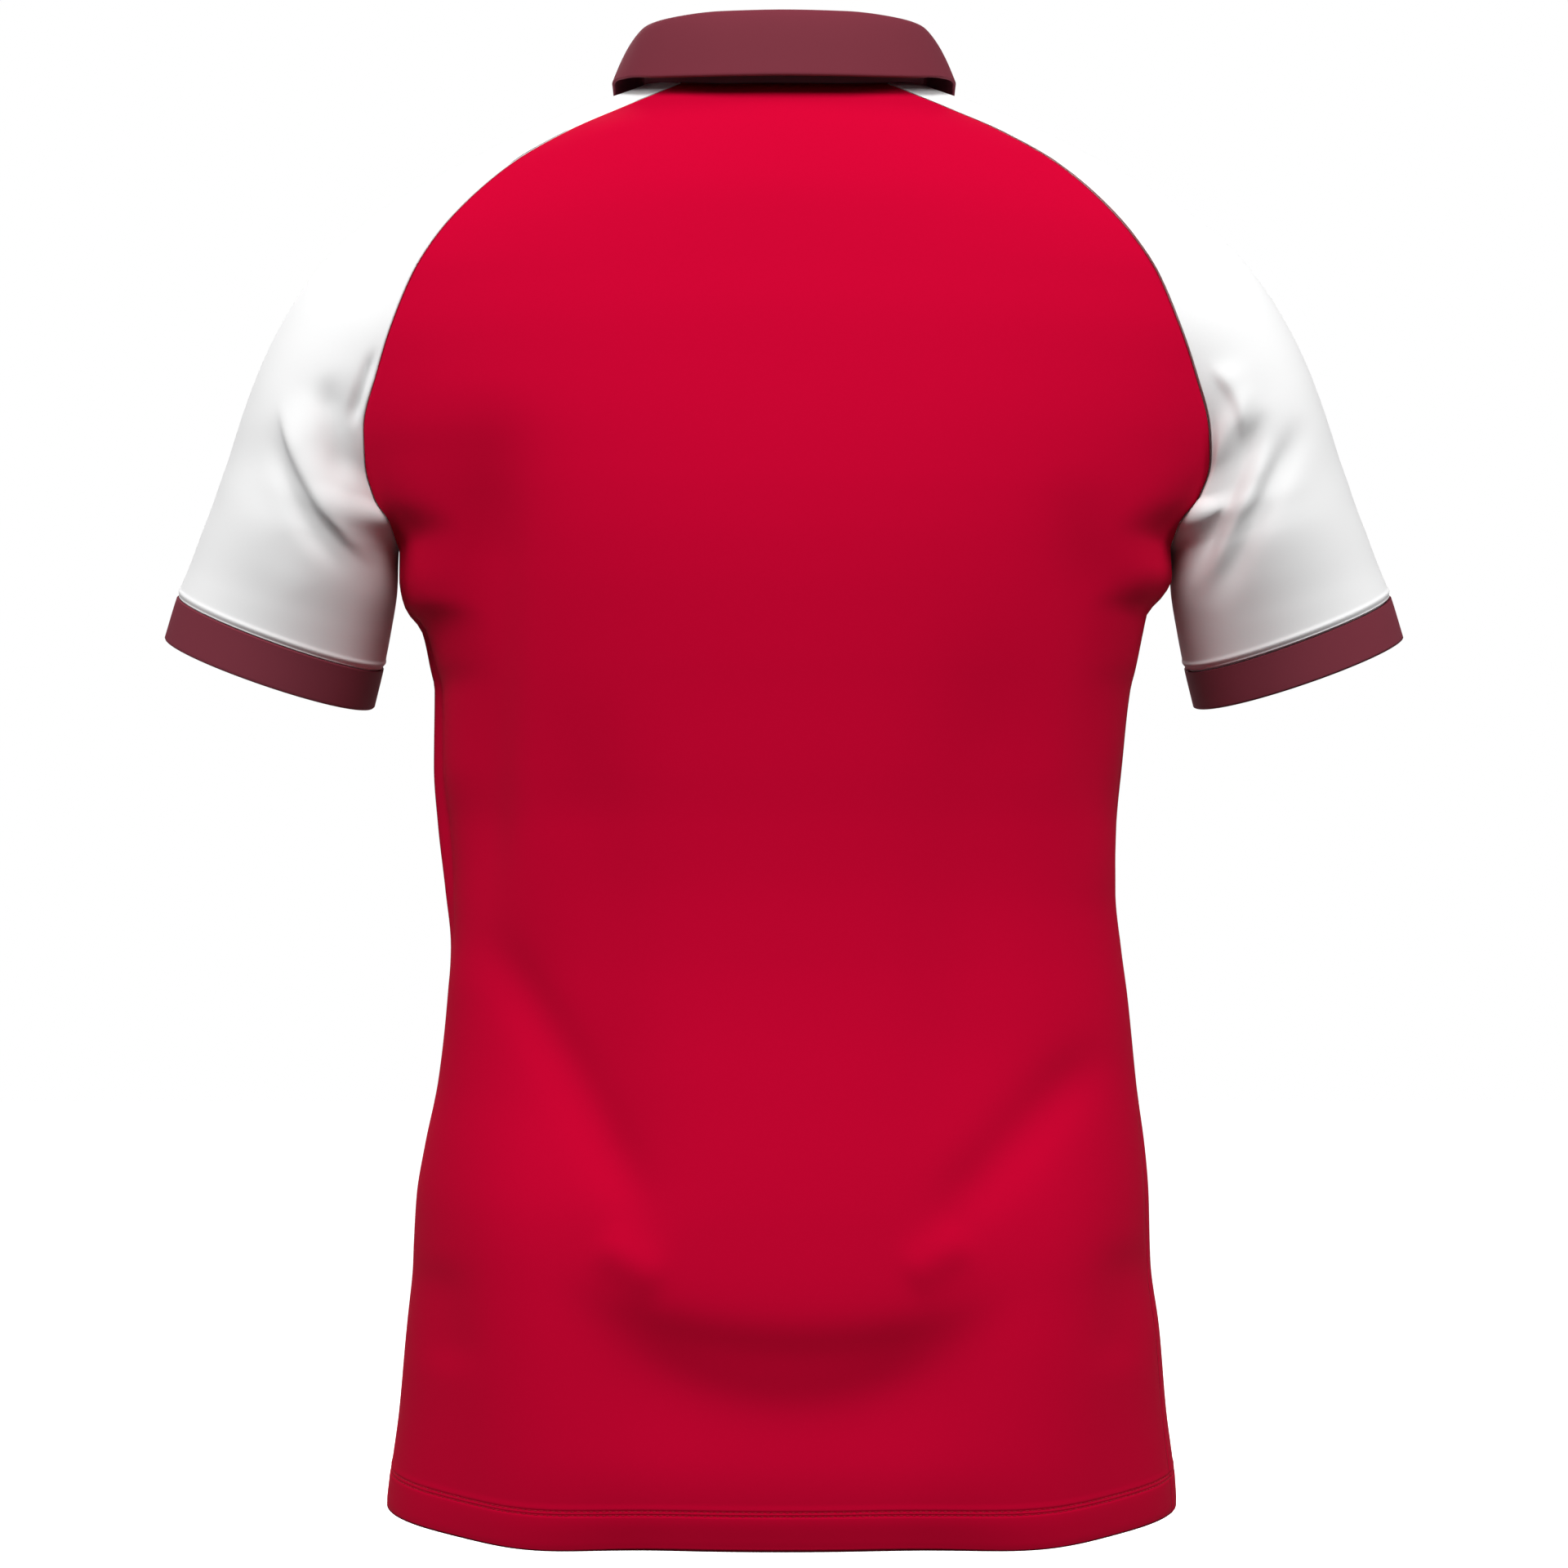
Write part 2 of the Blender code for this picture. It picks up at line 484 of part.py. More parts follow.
def cloth_wall(name, grids, material, collection, shut_from=None, hole=None):
    """A closed wall between two grids, outer and inner. From row shut_from on, the last column is the
    first one, which shuts the grids to a tube. hole(i, j) leaves a cell of both grids open."""
    rows, columns = grids[0].shape[:2]
    shut_from = rows if shut_from is None else shut_from
    work = bmesh.new()
    layers = [[[work.verts.new(point) for point in row] for row in grid] for grid in grids]

    def corner(i, j):
        return (i, 0) if j == columns - 1 and i >= shut_from else (i, j)

    edges = set()
    for i in range(rows - 1):
        for j in range(columns - 1):
            if hole and hole(i, j):
                continue
            cell = (corner(i, j), corner(i, j + 1), corner(i + 1, j + 1), corner(i + 1, j))
            edges.update(zip(cell, cell[1:] + cell[:1]))
            spans = [np.linalg.norm(grids[0][cell[n]] - grids[0][cell[n + 2]]) for n in (0, 1)]
            first = 0 if spans[0] <= spans[1] else 1  # both layers are split along the shorter diagonal
            for n in (0, 2):
                corners = [cell[(first + n + step) % 4] for step in (0, 1, 2)]
                work.faces.new([layers[0][a][b] for a, b in corners])
                work.faces.new([layers[1][a][b] for a, b in reversed(corners)])
    for start, end in sorted(edges):
        if (end, start) not in edges:
            near = [layers[0][a][b] for a, b in (end, start)]
            far = [layers[1][a][b] for a, b in (start, end)]
            work.faces.new(near + far)
    bmesh.ops.delete(work, geom=[v for v in work.verts if not v.link_faces], context="VERTS")
    bmesh.ops.recalc_face_normals(work, faces=work.faces)
    mesh = bpy.data.meshes.new(name)
    work.to_mesh(mesh)
    work.free()
    mesh.shade_smooth()
    mesh.set_sharp_from_angle(angle=math.radians(55))
    mesh.materials.append(material)
    obj = bpy.data.objects.new(name, mesh)
    collection.objects.link(obj)
    return obj


def to_back(points):
    return np.array([0.0, 1.0, 0.0])


def to_front(points):
    return np.array([0.0, -1.0, 0.0])


def off_arm(side):
    """Direction away from the arm's middle line."""
    top = np.array([0.150 * side, 0.0, -0.080])
    foot = np.array([0.262 * side, -0.026, -0.300])
    run = (foot - top) / np.linalg.norm(foot - top)

    def outward(points):
        across = points - top
        return across - (across @ run)[..., None] * run

    return outward


def body_stations():
    """Rows of the body panels from the hem to the underarm."""
    heights = spread(HEM, 1, -0.702, 4, -0.626, 5, -0.540, 4, -0.420, 3, -0.300, 2, -0.268, 2, UNDERARM)
    return UNDERARM_STATION + (heights - UNDERARM) / (HEM - UNDERARM)


def seam_stations():
    """Stations at which the body panels and a sleeve meet, from the underarm up to the neck."""
    return np.concatenate([[10, 9.8, 9.6, 9.3, 9.0, 8.5], spread(8, 12, 0)])


def back_grids():
    rows = np.concatenate([body_stations()[:-1], seam_stations()])
    k, u = np.meshgrid(rows, spread(-1, 26, 1), indexing="ij")
    points, normals = lay(back_panel, k, u, (0.004, 0.01), to_back)
    height = fold_height(BACK_FOLDS, points[..., 0], points[..., 2]) * edge_calm(points)
    outer = drawn_in(points + normals * height[..., None], foot=False)
    return outer, outer - normals * CLOTH


def front_column(k, x):
    """Place u round the front panel at which its row reaches x."""
    u = np.full_like(k, abs(x) * 4)
    for _ in range(8):
        u = u * abs(x) / front_panel(k, u)[..., 0]
    return u


def front_grids():
    rows = np.concatenate([body_stations()[:-1], seam_stations()])
    slash = front_column(rows, SLASH_HALF)[:, None]
    outer_columns = slash + (1 - slash) * spread(0, 12, 1)[None, :]
    u = np.concatenate([-outer_columns[:, ::-1], 0 * slash, outer_columns], axis=1)
    points, normals = lay(front_panel, rows[:, None] + 0 * u, u, (0.004, 0.01), to_front)
    height = fold_height(FRONT_FOLDS, points[..., 0], points[..., 2]) * edge_calm(points)
    outer = drawn_in(points + normals * height[..., None], foot=False)
    return outer, outer - normals * CLOTH


def make_body(collection, red):
    cloth_wall("back_panel", back_grids(), red, collection)
    first_open = len(body_stations()) - 1 + int(np.argmin(np.abs(seam_stations() - SLASH_STATION)))

    def slash(i, j):
        return i >= first_open and j in (12, 13)

    cloth_wall("front_panel", front_grids(), red, collection, hole=slash)


def sleeve_stations():
    return np.concatenate([seam_stations()[::-1], spread(UNDERARM_STATION, 5, CUFF_STATION)[1:]])


def sleeve_grids(side):
    """Sleeve from the neckline and raglan seams to the cuff seam, shut to a tube past the underarm."""
    stations = sleeve_stations()
    k, w = np.meshgrid(stations, spread(-1, 22, 1), indexing="ij")
    points, normals = lay(sleeve_surface(side), k, w, (0.02, 0.01), off_arm(side))
    behind = LEFT_SLEEVE_BACK_FOLDS if side > 0 else RIGHT_SLEEVE_BACK_FOLDS
    height = np.where(
        w < 0,
        fold_height(behind, points[..., 0] * side, points[..., 2]),
        fold_height(SLEEVE_FRONT_FOLDS, points[..., 0] * side, points[..., 2]),
    )
    calm = edge_calm(points) * ramp(np.abs(w), 0.0, 0.2) * ramp(CUFF_STATION - k, 0.0, 0.8)
    raised = points + normals * (height * calm)[..., None]
    outer = drawn_in(raised)
    free = SLEEVE.read("free", stations)[:, None]
    for column, panel, toward in ((0, back_panel, to_back), (-1, front_panel, to_front)):
        body = lay(panel, stations, 0 * stations + side, (0.004, 0.01), toward)[1]
        shared = (1 - free) * body + free * normals[:, column]
        normals[:, column] = shared / np.linalg.norm(shared, axis=-1, keepdims=True)
    tube = stations >= UNDERARM_STATION
    shared = normals[tube, 0] + normals[tube, -1]
    normals[tube, 0] = normals[tube, -1] = shared / np.linalg.norm(shared, axis=-1, keepdims=True)
    outer[tube, 0] = outer[tube, -1] = (outer[tube, 0] + outer[tube, -1]) / 2
    return outer, outer - normals * CLOTH


def make_sleeve(collection, side, white, maroon):
    name = "left" if side > 0 else "right"
    underarm = int(np.argmax(sleeve_stations() >= UNDERARM_STATION))
    cloth_wall("sleeve_" + name, sleeve_grids(side), white, collection, shut_from=underarm)
    k, w = np.meshgrid(spread(CUFF_STATION, 2, CUFF_EDGE), spread(-1, 22, 1), indexing="ij")
    ring, normals = lay(sleeve_surface(side), k, w, (0.02, 0.01), off_arm(side))
    ring = drawn_in(ring, top=False, sides=False)
    cloth_wall("cuff_" + name, (ring, ring - normals * RIB), maroon, collection, shut_from=0)


def collar_surface(t, at):
    """Collar as one folded strip: up the neck side of its stand (0 to 1), over the fold and down the
    outside of its leaf (1 to 2)."""
    place = np.abs(at)
    base = neckline(at)
    ahead = neckline(at + 0.01) - neckline(at - 0.01)
    along = ahead / np.linalg.norm(ahead, axis=-1, keepdims=True)
    out = np.stack([-along[..., 1], along[..., 0], 0 * at], axis=-1)
    out /= np.linalg.norm(out, axis=-1, keepdims=True)
    up = np.array([0.0, 0.0, 1.0])
    side = np.where(at < 0, -1.0, 1.0)[..., None]

    def column(name):
        return COLLAR.read(name, place)[..., None]

    foot = base - out * RIB + up * SEAM_GAP
    crest = base + out * column("crest_out") + up * column("crest_up")
    edge = base + out * column("edge_out") + up * column("edge_up") + along * side * column("edge_along")
    rise = up * column("crest_up") * 0.6
    stand = bezier((foot, foot + rise, crest - out * FOLD_HALF, crest), np.clip(t, 0, 1)[..., None])
    turn = crest + (edge - crest) * column("bend") + out * LEAF_SWELL
    leaf = bezier((crest, crest + out * FOLD_HALF, turn, edge), np.clip(t - 1, 0, 1)[..., None])
    return np.where((t <= 1)[..., None], stand, leaf)


def collar_grids():
    rows = np.concatenate([spread(0, 4, 1), spread(1, 7, 2)[1:]])
    half = spread(0, 6, BACK_CORNER, 6, SHOULDER, 5, FRONT_CORNER, 6, FRONT_END)
    t, at = np.meshgrid(rows, np.concatenate([-half[:0:-1], half]), indexing="ij")
    points = collar_surface(t, at)
    normals = np.cross(np.gradient(points, axis=0), np.gradient(points, axis=1))
    normals /= np.linalg.norm(normals, axis=-1, keepdims=True)
    normals *= np.sign(normals[4, len(half) - 1, 2])
    return points, points - normals * RIB


def make_collar(collection, maroon):
    cloth_wall("collar", collar_grids(), maroon, collection)


def placket_grids(half_width, foot, raised):
    """A strip on the front panel, made from the panel's own points and moved out by raised."""
    rows = foot + (PLACKET_TOP - foot) * spread(0, 12, 1)
    share = front_column(rows, half_width)[:, None]
    u = share * spread(-1, 4, 1)[None, :]
    points, normals = lay(front_panel, rows[:, None] + 0 * u, u, (0.004, 0.01), to_front)
    outer = drawn_in(points + normals * raised, foot=False, sides=False)
    return outer, outer - normals * CLOTH


def make_placket(collection, red):
    over = placket_grids(PLACKET_HALF, PLACKET_FOOT, PLACKET_RAISED)
    cloth_wall("placket_over", over, red, collection)
    under = placket_grids(SLASH_HALF - SEAM_GAP, SLASH_STATION - 0.03, 0.0)
    cloth_wall("placket_under", under, red, collection)


def make_buttons(collection, maroon):
    """Turned buttons with a raised rim, lying on the outer placket."""
    profile = (
        (0.0, BUTTON_THICK * 0.72),
        (BUTTON_RADIUS - BUTTON_RIM * 2, BUTTON_THICK * 0.72),
        (BUTTON_RADIUS - BUTTON_RIM * 1.4, BUTTON_THICK),
        (BUTTON_RADIUS - BUTTON_RIM * 0.5, BUTTON_THICK),
        (BUTTON_RADIUS, BUTTON_THICK * 0.66),
        (BUTTON_RADIUS * 0.96, BUTTON_THICK * 0.3),
        (BUTTON_RADIUS * 0.72, 0.0),
        (0.0, 0.0),
    )
    rows = spread(UNDERARM_STATION, 80, 0)
    centre = front_panel(rows, 0 * rows)
    for number, height in enumerate(BUTTON_HEIGHTS, start=1):
        mesh = bpy.data.meshes.new(f"button_{number}")
        points = [(radius, 0.0, lift) for radius, lift in profile]
        mesh.from_pydata(points, [(i, i + 1) for i in range(len(points) - 1)], [])
        mesh.materials.append(maroon)
        button = bpy.data.objects.new(f"button_{number}", mesh)
        turned = button.modifiers.new("turned", "SCREW")
        turned.steps = turned.render_steps = 20
        turned.use_merge_vertices = True
        turned.merge_threshold = 0.00005
        depth = np.interp([height - 0.004, height, height + 0.004], centre[:, 2], centre[:, 1])
        lean = math.atan2(depth[2] - depth[0], 0.008)
        off = PLACKET_RAISED + SEAM_GAP
        button.rotation_euler = (math.pi / 2 - lean, 0.0, 0.0)
        button.location = (0.0, depth[1] - off * math.cos(lean), height + off * math.sin(lean))
        collection.objects.link(button)


def main():
    clear_scene()
    collection = bpy.data.collections.new("polo_shirt")
    bpy.context.scene.collection.children.link(collection)
    red = cloth_material("red_knit", RED, 0.7)
    white = cloth_material("white_knit", WHITE, 0.75)
    maroon = cloth_material("maroon_rib", MAROON, 0.8)
    make_body(collection, red)
    for side in (1.0, -1.0):
        make_sleeve(collection, side, white, maroon)
    make_collar(collection, maroon)
    make_placket(collection, red)
    make_buttons(collection, maroon)


main()
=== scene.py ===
# Polo shirt with raglan sleeves, filled out as it is worn, seen from behind.
# Metres, Z up, the front faces -Y and +X is the wearer's left.
import math

import bmesh
import bpy
import numpy as np
from mathutils import Matrix, Vector


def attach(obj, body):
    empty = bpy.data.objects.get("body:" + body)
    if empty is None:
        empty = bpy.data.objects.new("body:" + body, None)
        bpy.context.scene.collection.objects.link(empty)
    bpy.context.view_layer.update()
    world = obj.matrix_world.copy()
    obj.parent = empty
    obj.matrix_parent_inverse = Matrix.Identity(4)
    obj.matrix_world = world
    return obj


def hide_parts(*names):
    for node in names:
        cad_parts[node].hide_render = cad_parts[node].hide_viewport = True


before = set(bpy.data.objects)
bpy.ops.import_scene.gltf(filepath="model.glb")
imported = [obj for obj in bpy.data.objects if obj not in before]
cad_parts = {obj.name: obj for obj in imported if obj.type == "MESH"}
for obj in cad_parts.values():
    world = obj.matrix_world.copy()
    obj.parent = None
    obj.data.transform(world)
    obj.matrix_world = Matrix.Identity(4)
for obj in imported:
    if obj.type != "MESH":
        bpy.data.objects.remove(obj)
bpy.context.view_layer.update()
print("frame loaded")

# heights on the garment and the thickness of its cloth
garment = dict(
    hem=-0.720,
    underarm=-0.236,
    neckBack=-0.007,  # the back neckline at its raglan seams
    neckFront=-0.028,  # and the front one
    neckDip=0.042,  # how far the front neckline drops to its centre
    dipRound=1.3,
    dipFrom=-0.170,  # where the front panel's rows start to bend down to that neckline
    rowBend=3,  # how late the rows of a panel bend up to its edges
    cloth=0.0014,  # knitted body cloth
    rib=0.0017,  # knitted collar and cuffs
    seamGap=0.0003,
    rimShare=0.4,  # how far a sewn edge is drawn in for its round rim, as a share of the cloth
)
underarmStation, cuffStation, cuffEdge = 10.0, 13.0, 14.0  # how stations along a sleeve are numbered
neckReach = dict(panel=3, sleeve=1.6)  # stations over which a piece is drawn onto the neckline
# stations along and share across over which the slope of a surface is read
panelStep, sleeveStep = (0.004, 0.01), (0.02, 0.01)
foldEnds = 0.3  # share of a fold's length over which each end fades
xAxis, yAxis, zAxis = np.eye(3)


# small helpers
class Table:
    # rows of named columns, read smoothly between rows and without overshoot
    def __init__(self, names, *rows):
        self.names = names.split()
        self.rows = np.array(sorted(rows), float)

    def read(self, name, at):
        xs = self.rows[:, 0]
        ys = self.rows[:, self.names.index(name)]
        at = np.clip(np.asarray(at, float), xs[0], xs[-1])
        steps = np.diff(xs)
        rises = np.diff(ys) / steps
        slopes = np.zeros(len(xs))
        slopes[0], slopes[-1] = rises[0], rises[-1]
        for i in range(1, len(xs) - 1):
            if rises[i - 1] * rises[i] > 0:
                slopes[i] = 2 * rises[i - 1] * rises[i] / (rises[i - 1] + rises[i])
        i = np.clip(np.searchsorted(xs, at, side="right") - 1, 0, len(xs) - 2)
        t = (at - xs[i]) / steps[i]
        stay = ys[i] * (1 + 2 * t) * (1 - t) ** 2 + ys[i + 1] * t * t * (3 - 2 * t)
        turn = slopes[i] * t * (1 - t) ** 2 - slopes[i + 1] * t * t * (1 - t)
        return stay + turn * steps[i]


def spread(*stops):  # values from first to last stop, with so many even steps between each two
    values = [stops[0]]
    for steps, end in zip(stops[1::2], stops[2::2]):
        values += list(np.linspace(values[-1], end, steps + 1)[1:])
    return np.array(values)


def ramp(x, low, high):
    t = np.clip((x - low) / (high - low), 0, 1)
    return t * t * (3 - 2 * t)


def unit(vectors):
    return vectors / np.maximum(np.linalg.norm(vectors, axis=-1, keepdims=True), 1e-12)


def bezier(points, t):
    a, b, c, d = points
    return a * (1 - t) ** 3 + 3 * b * t * (1 - t) ** 2 + 3 * c * t * t * (1 - t) + d * t**3


def bump(distance, width):
    return np.exp(-((distance / width) ** 2))


def sided(table, left, names, at):  # one column on the wearer's left, another on the right
    return np.where(left, *(table.read(name, at) for name in names.split()))


def meshFrom(work, name):
    mesh = bpy.data.meshes.new(name)
    work.to_mesh(mesh)
    work.free()
    return mesh


def addObject(name, data):
    added = bpy.data.objects.new(name, data)
    bpy.context.scene.collection.objects.link(added)
    return added


def evaluatedMesh(source):  # what the modifiers make of an object, as a plain mesh
    return bpy.data.meshes.new_from_object(source.evaluated_get(bpy.context.evaluated_depsgraph_get()))


# the shape of the torso
# half widths to the wearer's left and right, depths of back and front, and how round each corner is
torso = Table(
    "z left right back front backLeft backRight frontRound",
    (-0.720, 0.2020, 0.1995, 0.1195, 0.1180, 0.475, 0.475, 0.47),
    (-0.705, 0.2002, 0.1985, 0.1222, 0.1202, 0.470, 0.470, 0.46),
    (-0.672, 0.1956, 0.1943, 0.1240, 0.1220, 0.460, 0.460, 0.45),
    (-0.630, 0.1918, 0.1906, 0.1242, 0.1222, 0.455, 0.455, 0.45),
    (-0.597, 0.1885, 0.1860, 0.1235, 0.1215, 0.450, 0.450, 0.45),
    (-0.563, 0.1864, 0.1847, 0.1215, 0.1195, 0.450, 0.450, 0.45),
    (-0.538, 0.1822, 0.1826, 0.1190, 0.1175, 0.450, 0.450, 0.45),
    (-0.505, 0.1756, 0.1789, 0.1150, 0.1145, 0.450, 0.450, 0.45),
    (-0.463, 0.1714, 0.1747, 0.1105, 0.1115, 0.460, 0.450, 0.45),
    (-0.438, 0.1701, 0.1714, 0.1090, 0.1108, 0.470, 0.450, 0.45),
    (-0.409, 0.1730, 0.1685, 0.1085, 0.1108, 0.485, 0.440, 0.450),
    (-0.376, 0.1768, 0.1697, 0.1095, 0.1118, 0.485, 0.425, 0.440),
    (-0.346, 0.1789, 0.1726, 0.1115, 0.1135, 0.464, 0.405, 0.422),
    (-0.307, 0.1785, 0.1768, 0.1140, 0.1160, 0.412, 0.391, 0.378),
    (-0.2966, 0.1806, 0.1793, 0.1148, 0.1168, 0.405, 0.390, 0.378),
    (-0.277, 0.1851, 0.1830, 0.1160, 0.1182, 0.400, 0.382, 0.378),
    (-0.268, 0.1920, 0.1850, 0.1165, 0.1188, 0.420, 0.380, 0.404),
    (-0.2624, 0.1945, 0.1906, 0.1168, 0.1192, 0.428, 0.400, 0.410),
    (-0.2507, 0.1963, 0.1970, 0.1172, 0.1198, 0.412, 0.414, 0.398),
    (-0.236, 0.1962, 0.1962, 0.1174, 0.1202, 0.385, 0.385, 0.374),
    (-0.2145, 0.2120, 0.2135, 0.1168, 0.1202, 0.415, 0.415, 0.40),
    (-0.197, 0.2220, 0.2250, 0.1155, 0.1190, 0.430, 0.430, 0.425),
    (-0.178, 0.2320, 0.2330, 0.1135, 0.1165, 0.440, 0.440, 0.44),
    (-0.153, 0.2410, 0.2410, 0.1100, 0.1110, 0.460, 0.460, 0.46),
    (-0.129, 0.2460, 0.2460, 0.1060, 0.1040, 0.480, 0.480, 0.49),
    (-0.105, 0.2470, 0.2470, 0.1005, 0.0935, 0.515, 0.515, 0.52),
    (-0.085, 0.2370, 0.2370, 0.0955, 0.0800, 0.540, 0.540, 0.55),
    (-0.068, 0.2180, 0.2180, 0.0905, 0.0675, 0.565, 0.565, 0.57),
    (-0.047, 0.1860, 0.1860, 0.0815, 0.0540, 0.600, 0.600, 0.60),
    (-0.031, 0.1500, 0.1500, 0.0730, 0.0450, 0.620, 0.620, 0.60),
    (-0.020, 0.1160, 0.1160, 0.0655, 0.0400, 0.620, 0.620, 0.60),
    (-0.007, 0.0840, 0.0840, 0.0570, 0.0360, 0.620, 0.620, 0.60),
)

# the same without the notch that the outline has under each arm, for the middle of the panels, and
# the share of the half width over which the notch comes in
notch = dict(low=-0.32, high=-0.20, near=0.80, far=0.99)
smoothRows = [tuple(row) for row in torso.rows if not notch["low"] < row[0] < notch["high"]]
eased = Table(" ".join(torso.names), *smoothRows)

# raglan seams, as half widths of each panel from the underarm up to the neck
backSeam = Table(
    "z left right",
    (-0.2360, 0.1962, 0.1962),
    (-0.2265, 0.1965, 0.1967),
    (-0.2130, 0.2038, 0.2062),
    (-0.197, 0.2075, 0.2110),
    (-0.181, 0.2073, 0.2098),
    (-0.155, 0.2000, 0.2020),
    (-0.130, 0.1918, 0.1930),
    (-0.105, 0.1815, 0.1825),
    (-0.086, 0.1700, 0.1705),
    (-0.068, 0.1550, 0.1555),
    (-0.0475, 0.1325, 0.1330),
    (-0.032, 0.1080, 0.1080),
    (-0.020, 0.0845, 0.0845),
    (-0.007, 0.0515, 0.0515),
)
frontSeam = Table(
    "z x",
    (-0.236, 0.1962),
    (-0.215, 0.1935),
    (-0.185, 0.1860),
    (-0.148, 0.1710),
    (-0.112, 0.1495),
    (-0.080, 0.1230),
    (-0.052, 0.0930),
    (-0.028, 0.0600),
)

# how far each side seam turns to the back of the widest point, in degrees round the section
sideTurn = Table(
    "z left right",
    (-0.720, -4, 13),
    (-0.600, -4, 12),
    (-0.500, -3, 7),
    (-0.430, 0, 2),
    (-0.380, 0, 0),
    (-0.236, 0, 0),
)

# neckline from centre back (0) round the wearer's left to centre front (1)
backCorner, shoulder, frontCorner = 0.27, 0.50, 0.72
necklineTable = Table(
    "at x y z",
    (-0.14, -0.0285, 0.0535, -0.0095),
    (0.00, 0.0000, 0.0570, -0.0100),
    (0.14, 0.0285, 0.0535, -0.0095),
    (0.27, 0.0505, 0.0440, -0.0070),
    (0.38, 0.0648, 0.0265, -0.0030),
    (0.50, 0.0710, 0.0040, 0.0000),
    (0.61, 0.0685, -0.0200, -0.0120),
    (0.72, 0.0590, -0.0380, -0.0280),
    (0.86, 0.0335, -0.0580, -0.0540),
    (1.00, 0.0000, -0.0680, -0.0700),
    (1.14, -0.0335, -0.0580, -0.0540),
)

# sleeve stations from the neck (0) past the underarm (10) and the cuff seam (13) to the cuff's edge (14)
sleeveTable = Table(
    "k x y z backZ frontZ innerX innerY innerZ out reach free lift tilt",
    (0, 0.071, 0.004, 0, -0.007, -0.028, 0.165, 0.02, -0.12, 0.022, 0.012, 0, 0.08, 0),
    (1, 0.105, 0.004, -0.013, -0.0205, -0.046, 0.165, 0.02, -0.12, 0.022, 0.014, 0, 0.08, 0),
    (2, 0.145, 0.003, -0.0325, -0.039, -0.066, 0.165, 0.02, -0.12, 0.026, 0.016, 0, 0.08, 0),
    (3, 0.1815, 0.002, -0.0515, -0.062, -0.09, 0.165, 0.02, -0.12, 0.031, 0.019, 0, 0.08, 0.01),
    (4, 0.211, 0, -0.0695, -0.092, -0.117, 0.165, 0.02, -0.12, 0.036, 0.023, 0.02, 0.09, 0.02),
    (5, 0.2365, -0.003, -0.092, -0.124, -0.144, 0.174, 0.018, -0.143, 0.043, 0.027, 0.1, 0.1, 0.04),
    (6, 0.255, -0.006, -0.118, -0.154, -0.169, 0.181, 0.015, -0.163, 0.051, 0.03, 0.28, 0.105, 0.06),
    (7, 0.268, -0.009, -0.143, -0.18, -0.19, 0.186, 0.012, -0.182, 0.059, 0.03, 0.54, 0.098, 0.08),
    (8, 0.2775, -0.012, -0.1665, -0.202, -0.208, 0.1905, 0.008, -0.2005, 0.066, 0.024, 0.82, 0.087, 0.1),
    (9, 0.2855, -0.015, -0.189, -0.22, -0.2225, 0.194, 0.004, -0.2185, 0.0705, 0.014, 0.96, 0.08, 0.11),
    (9.5, 0.2893, -0.0163, -0.1988, -0.23, -0.2305, 0.1955, 0.002, -0.2275, 0.072, 0.01, 0.99, 0.079, 0.115),
    (10, 0.2928, -0.0175, -0.2082, -0.236, -0.236, 0.1967, 0, -0.2363, 0.073, 0.007, 1, 0.079, 0.12),
    (11, 0.3, -0.02, -0.2255, -0.236, -0.236, 0.1985, -0.007, -0.2555, 0.0745, 0.003, 1, 0.0765, 0.12),
    (12, 0.3067, -0.022, -0.242, -0.236, -0.236, 0.203, -0.016, -0.276, 0.0745, 0, 1, 0.0745, 0.12),
    (13, 0.313, -0.0235, -0.2564, -0.236, -0.236, 0.2078, -0.023, -0.2957, 0.0742, 0, 1, 0.0742, 0.12),
    (14, 0.32, -0.026, -0.2774, -0.236, -0.236, 0.213, -0.026, -0.3155, 0.0748, 0, 1, 0.0748, 0.12),
)


def neckline(at):
    at = np.asarray(at, float)
    side = np.where(at < 0, -1.0, 1.0)
    x, y, z = (necklineTable.read(axis, np.abs(at)) for axis in "xyz")
    return np.stack([x * side, y, z], axis=-1)


def torsoBack(x, z):
    width = sided(torso, x >= 0, "left right", z)
    power = sided(torso, x >= 0, "backLeft backRight", z)
    return torso.read("back", z) * np.clip(1 - (x / width) ** 2, 0, 1) ** power


def torsoFront(x, z):
    width = sided(torso, x >= 0, "left right", z)
    share = np.clip(1 - (x / width) ** 2, 0, 1)
    return -torso.read("front", z) * share ** torso.read("frontRound", z)


def seamAngle(z, side, front):  # angle round the section at which a panel's edge lies
    column = "left" if side > 0 else "right"
    seam = frontSeam.read("x", z) if front else backSeam.read(column, z)
    above = np.arcsin(np.clip(seam / torso.read(column, z), 0, 1))
    turn = np.radians(sideTurn.read(column, z))
    return np.where(z > garment["underarm"], above, np.pi / 2 + (turn if front else -turn))


def edgeHeight(k, front):  # 0 at the neck, 10 at the underarm, 11 at the hem
    seam = sleeveTable.read("frontZ" if front else "backZ", k)
    drop = (k - underarmStation) * (garment["hem"] - garment["underarm"])
    return np.where(k < underarmStation, seam, garment["underarm"] + drop)


def rowHeight(k, u, front):
    edge = edgeHeight(k, front)
    top = garment["neckFront"] if front else garment["neckBack"]
    even = top + (garment["underarm"] - top) * k / underarmStation
    middle = np.where(k < underarmStation, even, edge)
    height = middle + (edge - middle) * np.abs(u) ** garment["rowBend"]
    if front:
        dip = garment["neckDip"] * ramp(height, garment["dipFrom"], garment["neckFront"])
        height = height - dip * np.maximum(1 - u * u, 0) ** garment["dipRound"]
    return height


